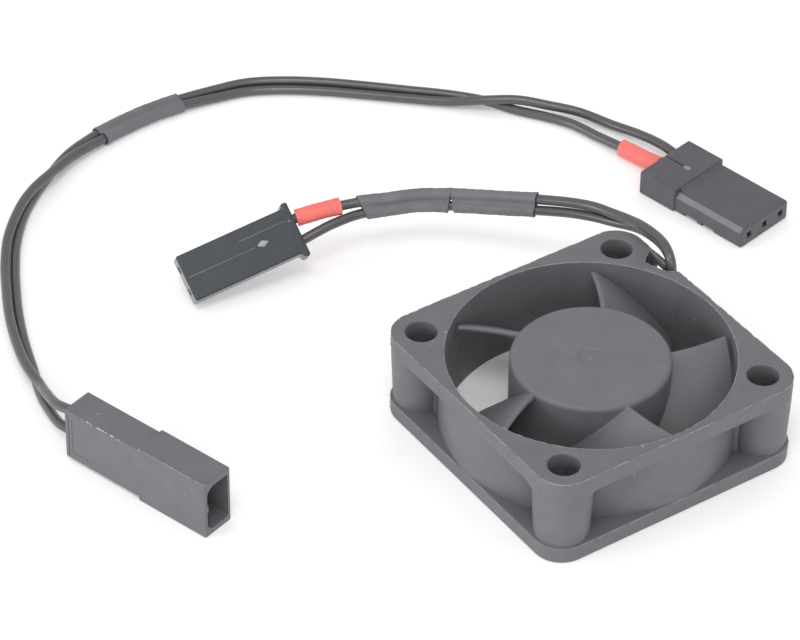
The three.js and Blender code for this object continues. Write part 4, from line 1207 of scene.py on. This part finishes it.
def servo_plug():
    rear_length, rear_width, rear_height = SERVO_REAR
    front_length, front_width, front_height = SERVO_FRONT
    end = rear_length + front_length
    side = front_width / 2
    section = filleted(
        [(-side, 0), (side, 0), (side, front_height), (SERVO_CHAMFER - side, front_height),
         (-side, front_height - SERVO_CHAMFER)],
        [0.3, 0.32, 0.34, 0.3, 0.3],
    )
    body = bar("servo_plug_moulding", section, rear_length - 0.6, end, 0.26, 3)
    tail_outline = rectangle(-rear_width / 2, 0, rear_width / 2, rear_height, 0.26)
    tail = bar("tail", tail_outline, 0, rear_length, 0.16, 3)
    combine(body, [tail, servo_slope(side)], "UNION")
    cuts = []
    for way in (-1, 0, 1):
        y = way * CONTACT_PITCH
        cuts += cavity(-1, end - PLUG_FRONT_WALL, end + 1, y, SERVO_AXIS_HEIGHT, SERVO_HOLE_LEAN)
    for x in SERVO_FOOT_GAPS:
        cuts.append(block("foot_gap", (x, -rear_width, -1), (x + 1.75, 1.0 - rear_width / 2, 0.45)))
    cuts.append(block("groove", (-1, -0.09, rear_height - 0.12), (2.9, 0.09, rear_height + 1)))
    combine(body, cuts, "DIFFERENCE")
    smoothed(body, SHARP_MOULDING)
    spot = Matrix.Translation(SERVO_ORIGIN) @ spun(SERVO_YAW)
    plug_piece(body, "extension_lead", "servo_plug", spot, ["servo_plug_housing"])
    # The chamfer strip is painted lighter, as a highlight.
    facet = servo_chamfer_highlight_strip(rear_length + 0.12, end - 0.3, side)
    plug_piece(facet, "extension_lead", "chamfer_highlight_paint", spot)
    drop_outline = filleted([(0, -0.05), (0.42, -0.05), (0.34, 0.05), (0, 0.08)], [0, 0, 0.08, 0])
    drop = smoothed(lathe("servo_gate_mark", drop_outline, 32))
    place = spot @ Matrix.Translation((3.15, 0.02, rear_height)) @ Matrix.Diagonal((1.2, 0.85, 1, 1))
    plug_piece(drop, "extension_lead", "servo_mark", place)
    return body, facet, drop


# ---- assembly


def dress_cad_nodes():
    """Gives each CAD node its slot's finish, or the servo plug's where the slot has none."""
    slots = {row["node"]: row["material_slot"] for row in frame["record"]["subparts"]}
    for name, obj in frame["nodes"].items():
        obj.data.materials.clear()
        obj.data.materials.append(MATERIALS.get(slots[name], MATERIALS["servo_plug"]))


def wire_pair(lead, route, body):
    """The negative and the positive wire of a lead, each with its length."""
    ways = (("negative", 1), ("positive", -1))
    return [wire(f"{lead}_wire_{sign}_jacket", route, side, body) for sign, side in ways]


def declare_cord(jacket, length, pieces):
    """Only turns the pieces into a list: nothing is declared, and the wire and its length are not used."""
    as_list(pieces)


def add_fan_lead():
    negative, positive = wire_pair("fan", FAN_LEAD_ROUTE, "fan")
    near_fan = grey_sleeve("fan_sleeve_near_fan_skin", FAN_LEAD_ROUTE, 0.63, 0.73, "fan", 0.15, -0.2)
    near_plug = grey_sleeve("fan_sleeve_near_plug_skin", FAN_LEAD_ROUTE, 0.734, 0.846, "fan", 0.2, -0.4)
    red = red_sleeve("fan_red_sleeve_skin", FAN_LEAD_ROUTE, 2.4, 7.2, "fan")
    pieces = [*fan_plug(), "fan_contact_negative", "fan_contact_positive", near_fan, near_plug]
    declare_cord(*negative, pieces)
    declare_cord(*positive, [*pieces, red])


def add_extension_lead():
    body = "extension_lead"
    negative, positive = wire_pair("lead", EXTENSION_ROUTE, body)
    grey = grey_sleeve("lead_grey_sleeve_skin", EXTENSION_ROUTE, 0.446, 0.529, body)
    red = red_sleeve("lead_red_sleeve_skin", EXTENSION_ROUTE, 2.2, 7.4, body)
    pieces = [*socket(), *servo_plug(), grey, "lead_pin_negative", "lead_pin_positive",
              "servo_contact_negative", "servo_contact_positive"]
    declare_cord(*negative, pieces)
    declare_cord(*positive, [*pieces, red])


add_camera()
add_lights()
add_floor()
dress_cad_nodes()
add_fan_lead()
add_extension_lead()
fan_frame()
base_label()
impeller()
